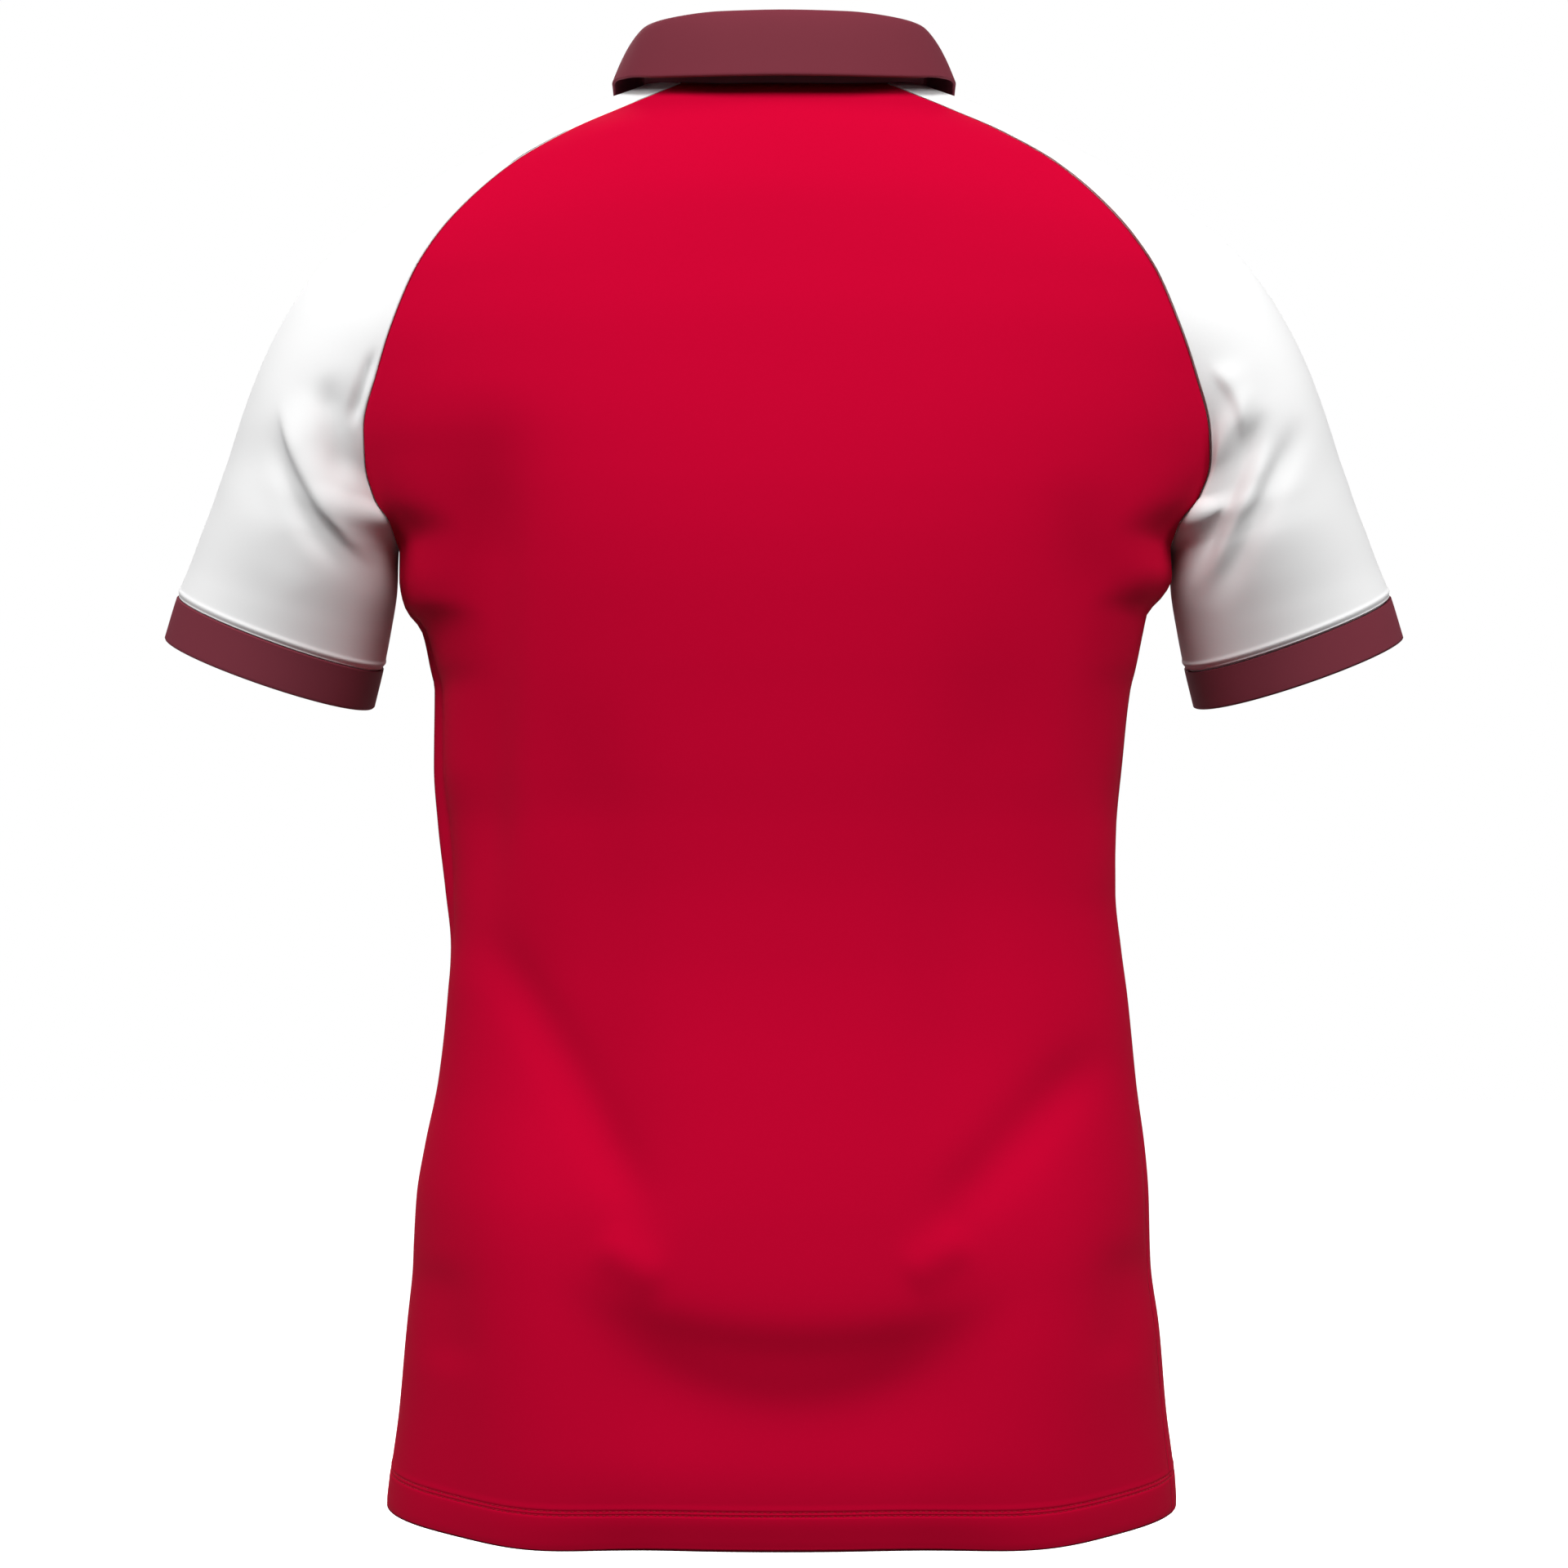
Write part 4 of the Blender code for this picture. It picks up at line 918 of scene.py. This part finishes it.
# sleeves and cuffs
sleeve = dict(
    rows=84,
    tubeRows=(underarmStation, 26, 12.65, 30, cuffStation),
    columns=184,
    roll=0.0004,  # a rolled edge stands up above the cuff seam
    rollFrom=0.0032,
    dip=0.0007,  # and the cloth is drawn in at the seam
    dipFrom=0.0005,
    rollWidth=0.0012,
    calm=0.005,  # how far from a seam the folds reach their full height
    topCalm=0.2,  # and from the arm's outside, as a share of the half ring
    cuffCalm=(0.1, 0.9),  # and from the cuff seam, in stations
    cuffRows=18,
    cuffColumns=180,
)
sleeveFolds = dict(
    left=(
        (0.2060, -0.2475, 0.2520, -0.1640, 0.0075, 0.0020, 0.0048, 0.016),  # sharp crease, upper side over
        (0.2150, -0.2530, 0.2560, -0.1720, 0.0080, 0.0060, -0.0024, 0),
        (0.2270, -0.1520, 0.2170, -0.2120, 0.0000, 0.0070, -0.0026, 0),
        (0.2135, -0.1800, 0.1990, -0.1420, 0.0000, 0.0036, -0.0026, 0),
        (0.2700, -0.1700, 0.2400, -0.2600, 0.0040, 0.0140, -0.0016, 0),
    ),
    right=(
        (0.2310, -0.1560, 0.1990, -0.2380, 0.0030, 0.0056, 0.0032, 0),
        (0.2390, -0.1680, 0.2050, -0.2560, 0.0020, 0.0048, -0.0034, 0),
        (0.2440, -0.1830, 0.2090, -0.2620, 0.0010, 0.0050, 0.0024, 0),
        (0.2620, -0.1700, 0.2140, -0.2700, 0.0030, 0.0070, -0.0034, 0),
        (0.2060, -0.1500, 0.2250, -0.1880, -0.0050, 0.0022, 0.0026, 0.012),
    ),
    front=(
        (0.2100, -0.2500, 0.2500, -0.1560, 0.0060, 0.0030, 0.0036, 0.016),
        (0.2300, -0.1500, 0.2060, -0.2460, -0.004, 0.0090, -0.0026, 0),
    ),
)


def sleeveGrid(side, stations, columns):
    k, w = np.meshgrid(stations, np.linspace(-1, 1, columns + 1), indexing="ij")
    return k, w, *lay(sleeveSurface(side), k, w, sleeveStep, offArm(side))


def makeSleeve(name, side):
    seamed = np.linspace(0, underarmStation, sleeve["rows"] + 1)
    stations = np.concatenate([seamed, spread(*sleeve["tubeRows"])[1:]])
    k, w, points, normals = sleeveGrid(side, stations, sleeve["columns"])
    flatX, z = points[..., 0] * side, points[..., 2]
    behind, before = foldHeight(sleeveFolds[name], flatX, z), foldHeight(sleeveFolds["front"], flatX, z)
    calm = edgeCalm(points, sleeve["calm"]) * ramp(np.abs(w), 0.0, sleeve["topCalm"])
    height = np.where(w < 0, behind, before) * (calm * ramp(cuffStation - k, *sleeve["cuffCalm"]))
    toCuff = edgeRun(points, 0)[1]
    height += sleeve["roll"] * bump(toCuff - sleeve["rollFrom"], sleeve["rollWidth"])
    height -= sleeve["dip"] * bump(toCuff - sleeve["dipFrom"], sleeve["rollWidth"])
    outer = points + normals * height[..., None]
    free = sleeveTable.read("free", stations)[:, None]
    for column, surface, toward in ((0, backPanel, toBack), (-1, frontPanel, toFront)):
        against = lay(surface, stations, 0 * stations + side, panelStep, toward)[1]
        normals[:, column] = unit((1 - free) * against + free * normals[:, column])
    tube = stations >= underarmStation
    normals[tube, 0] = normals[tube, -1] = unit(normals[tube, 0] + normals[tube, -1])
    outer[tube, 0] = outer[tube, -1] = (outer[tube, 0] + outer[tube, -1]) / 2
    flat = ringMap(outer, sleeve["columns"] // 2)
    edged = drawnIn(outer, rimInset(garment["cloth"]))
    edged[tube, 0] = edged[tube, -1] = outer[tube, 0]
    shutFrom = int(np.argmax(tube))
    cloth = wall(f"sleeve_{name}_cloth", edged, normals, garment["cloth"], flat, whiteKnit, shutFrom=shutFrom)

    stations = spread(cuffStation, sleeve["cuffRows"], cuffEdge)
    ring, around = sleeveGrid(side, stations, sleeve["cuffColumns"])[2:]
    around[:, 0] = around[:, -1] = unit(around[:, 0] + around[:, -1])
    flat = ringMap(ring, sleeve["cuffColumns"] // 2)
    ring = drawnIn(ring, rimInset(garment["rib"]), top=False, sides=False)
    ring[:, -1] = ring[:, 0]
    cuff = wall(f"cuff_{name}_rib", ring, around, garment["rib"], flat, maroonRib, shutFrom=0)
    return dict(cloth=cloth, cuff=cuff, outer=outer, normals=normals)


pieces = {name: makeSleeve(name, side) for name, side in (("left", 1.0), ("right", -1.0))}
print("sleeves and cuffs made")

# collar
collar = dict(
    frontEnd=0.985,  # the place on the neckline at which the collar ends
    foldHalf=0.0045,
    swell=0.0012,
    steep=0.6,  # how straight the stand rises
    columns=190,
    standRows=14,
    leafRows=26,
)
collarTable = Table(
    "at crestOut crestUp edgeOut edgeAlong edgeUp bend",
    (-0.14, 0.0055, 0.0342, 0.0145, 0.000, 0.0005, 0.60),
    (0.00, 0.0055, 0.0345, 0.0145, 0.000, 0.0005, 0.60),
    (0.14, 0.0055, 0.0342, 0.0145, 0.000, 0.0005, 0.60),
    (0.27, 0.0052, 0.0315, 0.0150, 0.001, 0.0000, 0.62),
    (0.38, 0.0046, 0.0275, 0.0158, 0.002, 0.0010, 0.68),
    (0.50, 0.0040, 0.0215, 0.0168, 0.003, 0.0005, 0.74),
    (0.61, 0.0048, 0.0225, 0.0185, 0.002, -0.0050, 0.68),
    (0.72, 0.0056, 0.0245, 0.0225, 0.000, -0.0145, 0.60),
    (0.86, 0.0056, 0.0250, 0.0280, -0.012, -0.0280, 0.58),
    (1.00, 0.0052, 0.0240, 0.0290, -0.040, -0.0390, 0.58),
)


def neckFrame(at):  # directions along the neckline and level out of the neck
    along = unit(neckline(at + 0.01) - neckline(at - 0.01))
    return along, unit(np.stack([-along[..., 1], along[..., 0], 0 * at], axis=-1))


def collarSurface(t, at):  # up the neck side of the stand (0 to 1), over the fold, down the leaf (1 to 2)
    base = neckline(at)
    along, out = neckFrame(at)
    side = np.where(at < 0, -1.0, 1.0)[..., None]

    def column(name):
        return collarTable.read(name, np.abs(at))[..., None]

    foot = base - out * garment["rib"] + zAxis * garment["seamGap"]
    crest = base + out * column("crestOut") + zAxis * column("crestUp")
    edge = base + out * column("edgeOut") + zAxis * column("edgeUp") + along * side * column("edgeAlong")
    rise = zAxis * column("crestUp") * collar["steep"]
    stand = bezier((foot, foot + rise, crest - out * collar["foldHalf"], crest), np.clip(t, 0, 1)[..., None])
    turn = crest + (edge - crest) * column("bend") + out * collar["swell"]
    leaf = bezier((crest, crest + out * collar["foldHalf"], turn, edge), np.clip(t - 1, 0, 1)[..., None])
    return np.where((t <= 1)[..., None], stand, leaf)


def makeCollar():
    rows = np.concatenate([spread(0, collar["standRows"], 1), spread(1, collar["leafRows"], 2)[1:]])
    places = np.linspace(-collar["frontEnd"], collar["frontEnd"], collar["columns"] + 1)
    t, at = np.meshgrid(rows, places, indexing="ij")
    points = collarSurface(t, at)
    normals = unit(np.cross(np.gradient(points, axis=0), np.gradient(points, axis=1)))
    normals *= np.sign(normals[collar["standRows"], collar["columns"] // 2, 2])
    flat = ringMap(points, collar["columns"] // 2)
    edged = drawnIn(points, garment["rib"] * garment["rimShare"], foot=False)
    return wall("collar_rib", edged, normals, garment["rib"], flat, maroonRib)


collarPiece = makeCollar()
print("collar made")


# placket and buttons
def placketStrip(name, halfWidth, foot, raised):
    rows = foot + (placket["top"] - foot) * spread(0, placket["rows"], 1)
    share = frontColumn(rows, halfWidth)[:, None]
    u = share * spread(-1, placket["columns"], 1)[None, :]
    points, normals = lay(frontPanel, rows[:, None] + 0 * u, u, panelStep, toFront)
    outer = points + normals * raised
    flat = flatMap(outer, placket["columns"] // 2)
    edged = drawnIn(outer, garment["cloth"] * garment["rimShare"])
    return wall(name, edged, normals, garment["cloth"], flat, redKnit), outer, normals


overPiece, overOuter, overNormals = placketStrip(
    "placket_over_cloth", placket["half"], placket["foot"], placket["raised"]
)
underHalf = placket["slash"] - placket["underClear"]
underFoot = placket["slashStation"] - placket["underShort"]
underPiece = placketStrip("placket_under_cloth", underHalf, underFoot, 0.0)[0]
print("placket made")

# sewing: threads that follow the cloth, each made by a tree of geometry nodes
sewing = dict(
    pitch=0.0030,
    length=0.0025,
    thick=0.00048,
    above=0.00002,  # how far the middle of a thread lies off the drawn-in cloth
    satin=0.00030,  # thread of the buttonholes and of the buttons' crosses
    satinPitch=0.00036,
    onPlacket=0.0001,  # how far it lies off the placket
    hemPoints=600,
    edgePoints=240,
    boxPoints=40,
)


def newTree(name, sizes):
    tree = bpy.data.node_groups.new(name, "GeometryNodeTree")
    tree.interface.new_socket("Line", in_out="INPUT", socket_type="NodeSocketGeometry")
    for size in sizes:
        tree.interface.new_socket(size, in_out="INPUT", socket_type="NodeSocketFloat")
    tree.interface.new_socket("Finish", in_out="INPUT", socket_type="NodeSocketMaterial")
    tree.interface.new_socket("Geometry", in_out="OUTPUT", socket_type="NodeSocketGeometry")
    start = tree.nodes.new("NodeGroupInput")
    return tree, {socket.name: Wire(tree, socket) for socket in start.outputs if socket.name}


def closeTree(tree, geometry, given):
    smooth = addNode(tree, "GeometryNodeSetShadeSmooth", None, {"Geometry": geometry})
    real = addNode(tree, "GeometryNodeRealizeInstances", None, {"Geometry": smooth})
    done = addNode(tree, "GeometryNodeSetMaterial", None, {"Geometry": real, "Material": given["Finish"]})
    end = tree.nodes.new("NodeGroupOutput")
    tree.links.new(done.socket, end.inputs[0])
    return tree


def stitchTree():  # one rounded stitch after another along the line
    tree, given = newTree("stitches", ("Pitch", "Length", "Thick"))
    line = addNode(tree, "GeometryNodeMeshToCurve", None, {"Mesh": given["Line"]})
    steps = {"Curve": line, "Length": given["Pitch"]}
    places = addNode(tree, "GeometryNodeCurveToPoints", dict(mode="LENGTH"), steps)
    tangent = places.output("Tangent")
    turn = addNode(tree, "FunctionNodeAlignRotationToVector", dict(axis="X"), {"Vector": tangent})
    sizes = {"X": given["Length"], "Y": given["Thick"], "Z": given["Thick"]}
    size = addNode(tree, "ShaderNodeCombineXYZ", None, sizes)
    grain = addNode(tree, "GeometryNodeMeshUVSphere", None, {"Segments": 6, "Rings": 5, "Radius": 0.5})
    grains = {"Points": places, "Instance": grain, "Rotation": turn, "Scale": size}
    return closeTree(tree, addNode(tree, "GeometryNodeInstanceOnPoints", None, grains), given)


def threadTree():  # one round thread along the line
    tree, given = newTree("thread", ("Thick",))
    line = addNode(tree, "GeometryNodeMeshToCurve", None, {"Mesh": given["Line"]})
    sizes = {"Resolution": 6, "Radius": given["Thick"] * 0.5}
    section = addNode(tree, "GeometryNodeCurvePrimitiveCircle", None, sizes)
    parts = {"Curve": line, "Profile Curve": section, "Fill Caps": True}
    return closeTree(tree, addNode(tree, "GeometryNodeCurveToMesh", None, parts), given)


def sewn(name, paths, tree, finish, **sizes):
    points, edges = [], []
    for path in paths:
        edges += [(len(points) + i, len(points) + i + 1) for i in range(len(path) - 1)]
        points += [tuple(point) for point in path]
    mesh = bpy.data.meshes.new(name + "_line")
    mesh.from_pydata(points, edges, [])
    line = addObject(name + "_line", mesh)
    modifier = line.modifiers.new("sewing", "NODES")
    modifier.node_group = tree
    values = dict(sizes, Finish=finish)
    for item in tree.interface.items_tree:
        if item.in_out == "INPUT" and item.name in values:
            modifier[item.identifier] = values[item.name]
    result = evaluatedMesh(line)
    line.modifiers.remove(modifier)
    bpy.data.objects.remove(line)
    result.name = name
    return addObject(name, result)


def readGrid(grid, i, j):  # a place between a grid's points
    last = np.array(grid.shape[:2]) - 1.001
    i, j = np.broadcast_arrays(np.clip(i, 0, last[0]), np.clip(j, 0, last[1]))
    a, b = i.astype(int), j.astype(int)
    p, q = (i - a)[..., None], (j - b)[..., None]
    low = grid[a, b] * (1 - q) + grid[a, b + 1] * q
    high = grid[a + 1, b] * (1 - q) + grid[a + 1, b + 1] * q
    return low * (1 - p) + high * p


stitches, thread = stitchTree(), threadTree()
hemPaths = []
for outer, normals in ((backOuter, backNormals), (frontOuter, frontNormals)):
    heights = spread(*body["rows"])
    for above in body["hemLines"]:
        row = np.interp(garment["hem"] + above, heights, np.arange(len(heights)))
        columns = np.linspace(0.5, outer.shape[1] - 1.5, sewing["hemPoints"])
        hemPaths.append(readGrid(outer, row, columns) + readGrid(normals, row, columns) * sewing["above"])
usual = dict(Pitch=sewing["pitch"], Length=sewing["length"], Thick=sewing["thick"])
hemStitches = sewn("hem_stitches", hemPaths, stitches, redThread, **usual)

middle = placket["columns"] // 2
run = edgeRun(overOuter, 0)[0][:, middle]  # from the placket's foot up its middle


def onPlacket(distance, off, above=sewing["onPlacket"]):  # off the middle by a share of the half width
    row, column = np.interp(distance, run, np.arange(len(run))), middle + middle * off
    return readGrid(overOuter, row, column) + readGrid(overNormals, row, column) * above


def placketPaths():
    edge = 1 - placket["stitchIn"] / placket["half"]
    foot, top = placket["stitchIn"], placket["stitchIn"] + placket["boxHeight"]
    up = np.linspace(foot, run[-1] - placket["topFree"], sewing["edgePoints"])
    across = np.linspace(-edge, edge, sewing["boxPoints"])
    rising = np.linspace(foot, top, sewing["boxPoints"])
    paths = [onPlacket(up, edge * side) for side in (-1, 1)]
    paths += [onPlacket(distance, across) for distance in (foot, top)]
    return paths + [onPlacket(rising, across[::step]) for step in (1, -1)]


placketStitches = sewn("placket_stitches", placketPaths(), stitches, redThread, **usual)

button = dict(
    heights=(-0.088, -0.140, -0.192),
    radius=0.0057,
    rim=0.0011,
    thick=0.0026,
    holeRadius=0.00085,
    holeOff=0.00125,
)
buttonhole = dict(
    length=0.0125,
    near=0.00022,  # the satin stitches run between these distances from the slit
    far=0.00115,
    barHalf=0.0011,  # the bar across each end
    barPitch=0.0003,
    barReach=(0.0011, 0.0002),
    above=0.00008,
)


def buttonholePaths():
    paths = []
    half = buttonhole["length"] / 2
    for height in button["heights"]:
        centre = np.interp(height, overOuter[:, middle, 2], run)
        steps = np.arange(-half, half, sewing["satinPitch"])
        swing = np.where(np.arange(len(steps)) % 2 == 0, buttonhole["near"], buttonhole["far"])
        for side in (-1, 1):
            paths.append(onPlacket(centre + steps, side * swing / placket["half"], buttonhole["above"]))
        beat = np.arange(-buttonhole["barHalf"], buttonhole["barHalf"], buttonhole["barPitch"])
        reach = np.array(buttonhole["barReach"])[np.arange(len(beat)) % 2]
        for end in (-1, 1):
            paths.append(onPlacket(centre + end * (half + reach), beat / placket["half"]))
    return paths


buttonholes = sewn("buttonhole_stitches", buttonholePaths(), thread, redThread, Thick=sewing["satin"])


def buttonPlace(height):  # the place and turn of a button on the front panel's middle line
    rows = spread(underarmStation, 80, 0)
    centre = frontPanel(rows, 0 * rows)
    step = 0.004  # above and below, to read how the panel leans
    depth = np.interp([height - step, height, height + step], centre[:, 2], centre[:, 1])
    lean = math.atan2(depth[2] - depth[0], 2 * step)
    off = placket["raised"] + garment["seamGap"]
    place = Vector((0.0, depth[1] - off * math.cos(lean), height + off * math.sin(lean)))
    return Matrix.Translation(place) @ Matrix.Rotation(math.pi / 2 - lean, 4, "X")


def turned(name, profile, steps):
    work = bmesh.new()
    line = [work.verts.new((radius, 0.0, lift)) for radius, lift in profile]
    edges = [work.edges.new(pair) for pair in zip(line, line[1:])]
    bmesh.ops.spin(work, geom=line + edges, cent=(0, 0, 0), axis=(0, 0, 1), angle=2 * math.pi, steps=steps)
    bmesh.ops.remove_doubles(work, verts=work.verts, dist=0.00002)
    bmesh.ops.recalc_face_normals(work, faces=work.faces)
    return addObject(name, meshFrom(work, name))


def makeButton(number, height):
    radius, rim, thick = button["radius"], button["rim"], button["thick"]
    profile = (
        (0.0, thick * 0.62),
        (radius - rim * 2.6, thick * 0.66),
        (radius - rim * 1.8, thick * 0.82),
        (radius - rim * 1.35, thick * 0.97),
        (radius - rim * 0.9, thick),
        (radius - rim * 0.4, thick * 0.97),
        (radius - rim * 0.1, thick * 0.84),
        (radius, thick * 0.62),
        (radius * 0.985, thick * 0.38),
        (radius * 0.93, thick * 0.18),
        (radius * 0.80, thick * 0.03),
        (radius * 0.70, 0.0),
        (0.0, 0.0),
    )
    disc = turned(f"button_{number}_turned", profile, 48)
    work = bmesh.new()
    for x in (-1, 1):
        for y in (-1, 1):
            at = Matrix.Translation((x * button["holeOff"], y * button["holeOff"], thick / 2))
            bmesh.ops.create_cone(
                work,
                cap_ends=True,
                segments=16,
                radius1=button["holeRadius"],
                radius2=button["holeRadius"],
                depth=thick * 3,
                matrix=at,
            )
    cutter = addObject("button_drill", meshFrom(work, "button_drill"))
    drilled = disc.modifiers.new("holes", "BOOLEAN")
    drilled.operation = "DIFFERENCE"
    drilled.solver = "EXACT"
    drilled.object = cutter
    mesh = evaluatedMesh(disc)
    disc.modifiers.remove(drilled)
    bpy.data.objects.remove(disc)
    bpy.data.objects.remove(cutter)
    mesh.transform(buttonPlace(height))
    mesh.materials.clear()
    mesh.materials.append(plastic)
    mesh.shade_smooth()
    mesh.set_sharp_from_angle(angle=math.radians(40))
    mesh.name = f"button_{number}_plastic"
    return addObject(mesh.name, mesh)


def crossPaths():  # three turns of thread through each pair of holes
    paths = []
    off, top = button["holeOff"], button["thick"] * 0.62 + sewing["satin"] * 0.7
    for height in button["heights"]:
        place = np.array(buttonPlace(height))
        for sign in (-1, 1):
            for strand in (-1, 0, 1):
                shift = strand * sewing["satin"] * 0.9
                lift = sewing["satin"] * (0.8 if sign > 0 else 0.0)
                flat = [(-off, 0.0003), (-off, top), (-off * 0.6, top + 0.0002 + lift)]
                flat += [(-x, z) for x, z in reversed(flat)]
                rows = [(x - shift * 0.7, sign * x + sign * shift * 0.7, z, 1.0) for x, z in flat]
                paths.append((np.array(rows) @ place.T)[:, :3])
    return paths


buttons = [makeButton(number, height) for number, height in enumerate(button["heights"], start=1)]
buttonThread = sewn("button_threads", crossPaths(), thread, maroonThread, Thick=sewing["satin"])
print("stitches and buttons made")

# seam allowances, pressed flat inside the garment
allowance = dict(
    width=0.0055,
    over=0.0012,  # how far it laps past the seam
    thick=0.0010,
    off=0.00025,
    points=6,
    panelReach=3,  # grid lines between the edge and the line that gives the direction inwards
    cuffReach=16,
)


def seamStrip(name, edge, inner, normals, deep, material, closed=False):
    # edge and inner are the cloth's last and an earlier line of points, inner towards the piece's
    # middle, and deep is how thick the cloth is there
    toward = unit(inner - edge)
    steps = np.linspace(-allowance["over"], allowance["width"], allowance["points"])
    base = edge - normals * (np.broadcast_to(deep, len(edge))[:, None] + allowance["off"])
    grid = base[:, None] + toward[:, None] * steps[None, :, None]
    facing = np.repeat(-normals[:, None], len(steps), axis=1)
    grid = grid + facing * allowance["thick"]
    if closed:
        grid, facing = grid.transpose(1, 0, 2), facing.transpose(1, 0, 2)
        grid[:, -1], facing[:, -1] = grid[:, 0], facing[:, 0]
    shutFrom = 0 if closed else None
    return wall(name, grid, facing, allowance["thick"], ringMap(grid, 0), material, shutFrom=shutFrom)


trims = []
panels = {
    "back": (backOuter, backNormals, backDeep),
    "front": (frontOuter, frontNormals, frontDeep),
}
for label, (outer, normals, deep) in panels.items():
    for hand, edge, inwards in (("left", -1, -1), ("right", 0, 1)):
        span = slice(1, outer.shape[0] - 3)  # from just above the hem to just below the collar
        inner = edge + inwards * allowance["panelReach"]
        line = (outer[span, edge], outer[span, inner], normals[span, edge], deep[span, edge])
        trims.append(seamStrip(f"{label}_{hand}_allowance", *line, redKnit))
for hand, made in pieces.items():
    outer, normals = made["outer"], made["normals"]
    line = (outer[-1], outer[-allowance["cuffReach"]], normals[-1], garment["cloth"])
    trims.append(seamStrip(f"cuff_{hand}_allowance", *line, whiteKnit, closed=True))


neckTape = dict(
    ends=0.93,  # its ends on the neckline, where 1 is the centre front
    places=150,
    low=-0.0060,  # its edges below and above the neckline
    high=0.0035,
    points=7,
    lean=0.0009,  # how far its lower edge stands off further than its upper one
    off=0.0003,
    thick=0.0008,
)


def makeTape():  # a tape inside the neck that covers the seam of the collar
    places = np.linspace(-neckTape["ends"], neckTape["ends"], neckTape["places"])
    out = neckFrame(places)[1][:, None]
    steps = np.linspace(neckTape["low"], neckTape["high"], neckTape["points"])
    lean = np.linspace(neckTape["lean"], 0.0, neckTape["points"])
    inset = garment["rib"] + neckTape["off"] + lean + neckTape["thick"]
    grid = neckline(places)[:, None] - out * inset[None, :, None] + zAxis * steps[None, :, None]
    facing = np.repeat(-out, len(steps), axis=1)
    return wall("neck_tape", grid, facing, neckTape["thick"], ringMap(grid, 0), maroonRib)


tape = makeTape()
print("seam allowances made")

# which piece stands for which node
def dress(piece, node):
    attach(piece, "root")
    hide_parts(node)


dress(backPiece, "back_panel")
dress(frontPiece, "front_panel")
for side, made in pieces.items():
    cloth, cuff = made["cloth"], made["cuff"]
    dress(cloth, f"sleeve_{side}")
    dress(cuff, f"cuff_{side}")
dress(collarPiece, "collar")
dress(overPiece, "placket_over")
dress(underPiece, "placket_under")
for number, piece in enumerate(buttons, start=1):
    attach(piece, "root")
    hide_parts(f"button_{number}")
for piece in [hemStitches, placketStitches, buttonholes, buttonThread, tape] + trims:
    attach(piece, "root")

# floor, light and camera
view = dict(back=1.55, height=-0.355, lens=69.7, sensor=36.0)
camera = addObject("camera", bpy.data.cameras.new("camera"))
camera.data.lens = view["lens"]
camera.data.sensor_width = view["sensor"]
camera.location = (0.0, view["back"], view["height"])
camera.rotation_euler = (math.pi / 2, 0.0, math.pi)
bpy.context.scene.camera = camera


def softbox(name, place, target, size, power):
    data = bpy.data.lights.new(name, "AREA")
    data.shape = "RECTANGLE"
    data.size, data.size_y = size
    data.energy = power
    light = addObject(name, data)
    light.location = place
    light.rotation_euler = (Vector(target) - Vector(place)).to_track_quat("-Z", "Y").to_euler()


softbox("key", (0.10, 3.3, 2.62), (0.0, 0.0, -0.40), (1.5, 1.5), 162)
softbox("left_fill", (2.4, 1.0, 1.5), (0.0, 0.0, -0.40), (1.2, 1.2), 33)
softbox("right_fill", (-2.4, 1.0, 1.5), (0.0, 0.0, -0.40), (1.2, 1.2), 38)
softbox("front", (0.3, -2.0, 1.4), (0.0, 0.0, -0.3), (1.6, 1.6), 50)

scene = bpy.context.scene
scene.view_settings.view_transform = "Standard"
sky = dict(low=0.04, high=0.12, seen=1.0)  # light from below and above, and how bright the backdrop looks
world = bpy.data.worlds.new("studio")
world.use_nodes = True
tree = world.node_tree
background = tree.nodes["Background"]
background.inputs["Color"].default_value = (1.0, 1.0, 1.0, 1.0)
direction = addNode(tree, "ShaderNodeTexCoord", None, None, "Generated")
rise = addNode(tree, "ShaderNodeSeparateXYZ", None, {0: direction}).output(2)
span = {"Value": rise, "From Min": -0.7, "From Max": 0.9, "To Min": sky["low"], "To Max": sky["high"]}
glow = addNode(tree, "ShaderNodeMapRange", dict(interpolation_type="SMOOTHSTEP"), span)
seen = addNode(tree, "ShaderNodeLightPath")
level = glow + seen * (sky["seen"] - glow)
tree.links.new(level.socket, background.inputs["Strength"])
scene.world = world

ground = dict(height=-1.25, half=7.0)
floorMesh = bpy.data.meshes.new("floor")
signs = ((-1, -1), (1, -1), (1, 1), (-1, 1))
corners = [(x * ground["half"], y * ground["half"], ground["height"]) for x, y in signs]
floorMesh.from_pydata(corners, [], [(0, 1, 2, 3)])
floor = addObject("floor", floorMesh)
floorMaterial, _, floorShader = newMaterial("pale_floor", Roughness=0.9)
floorShader.inputs["Base Color"].default_value = (0.92, 0.92, 0.92, 1.0)
floorShader.inputs["Emission Color"].default_value = (1.0, 1.0, 1.0, 1.0)
floorShader.inputs["Emission Strength"].default_value = 1.0
floorMesh.materials.append(floorMaterial)
floor.visible_diffuse = False
print("stage set")
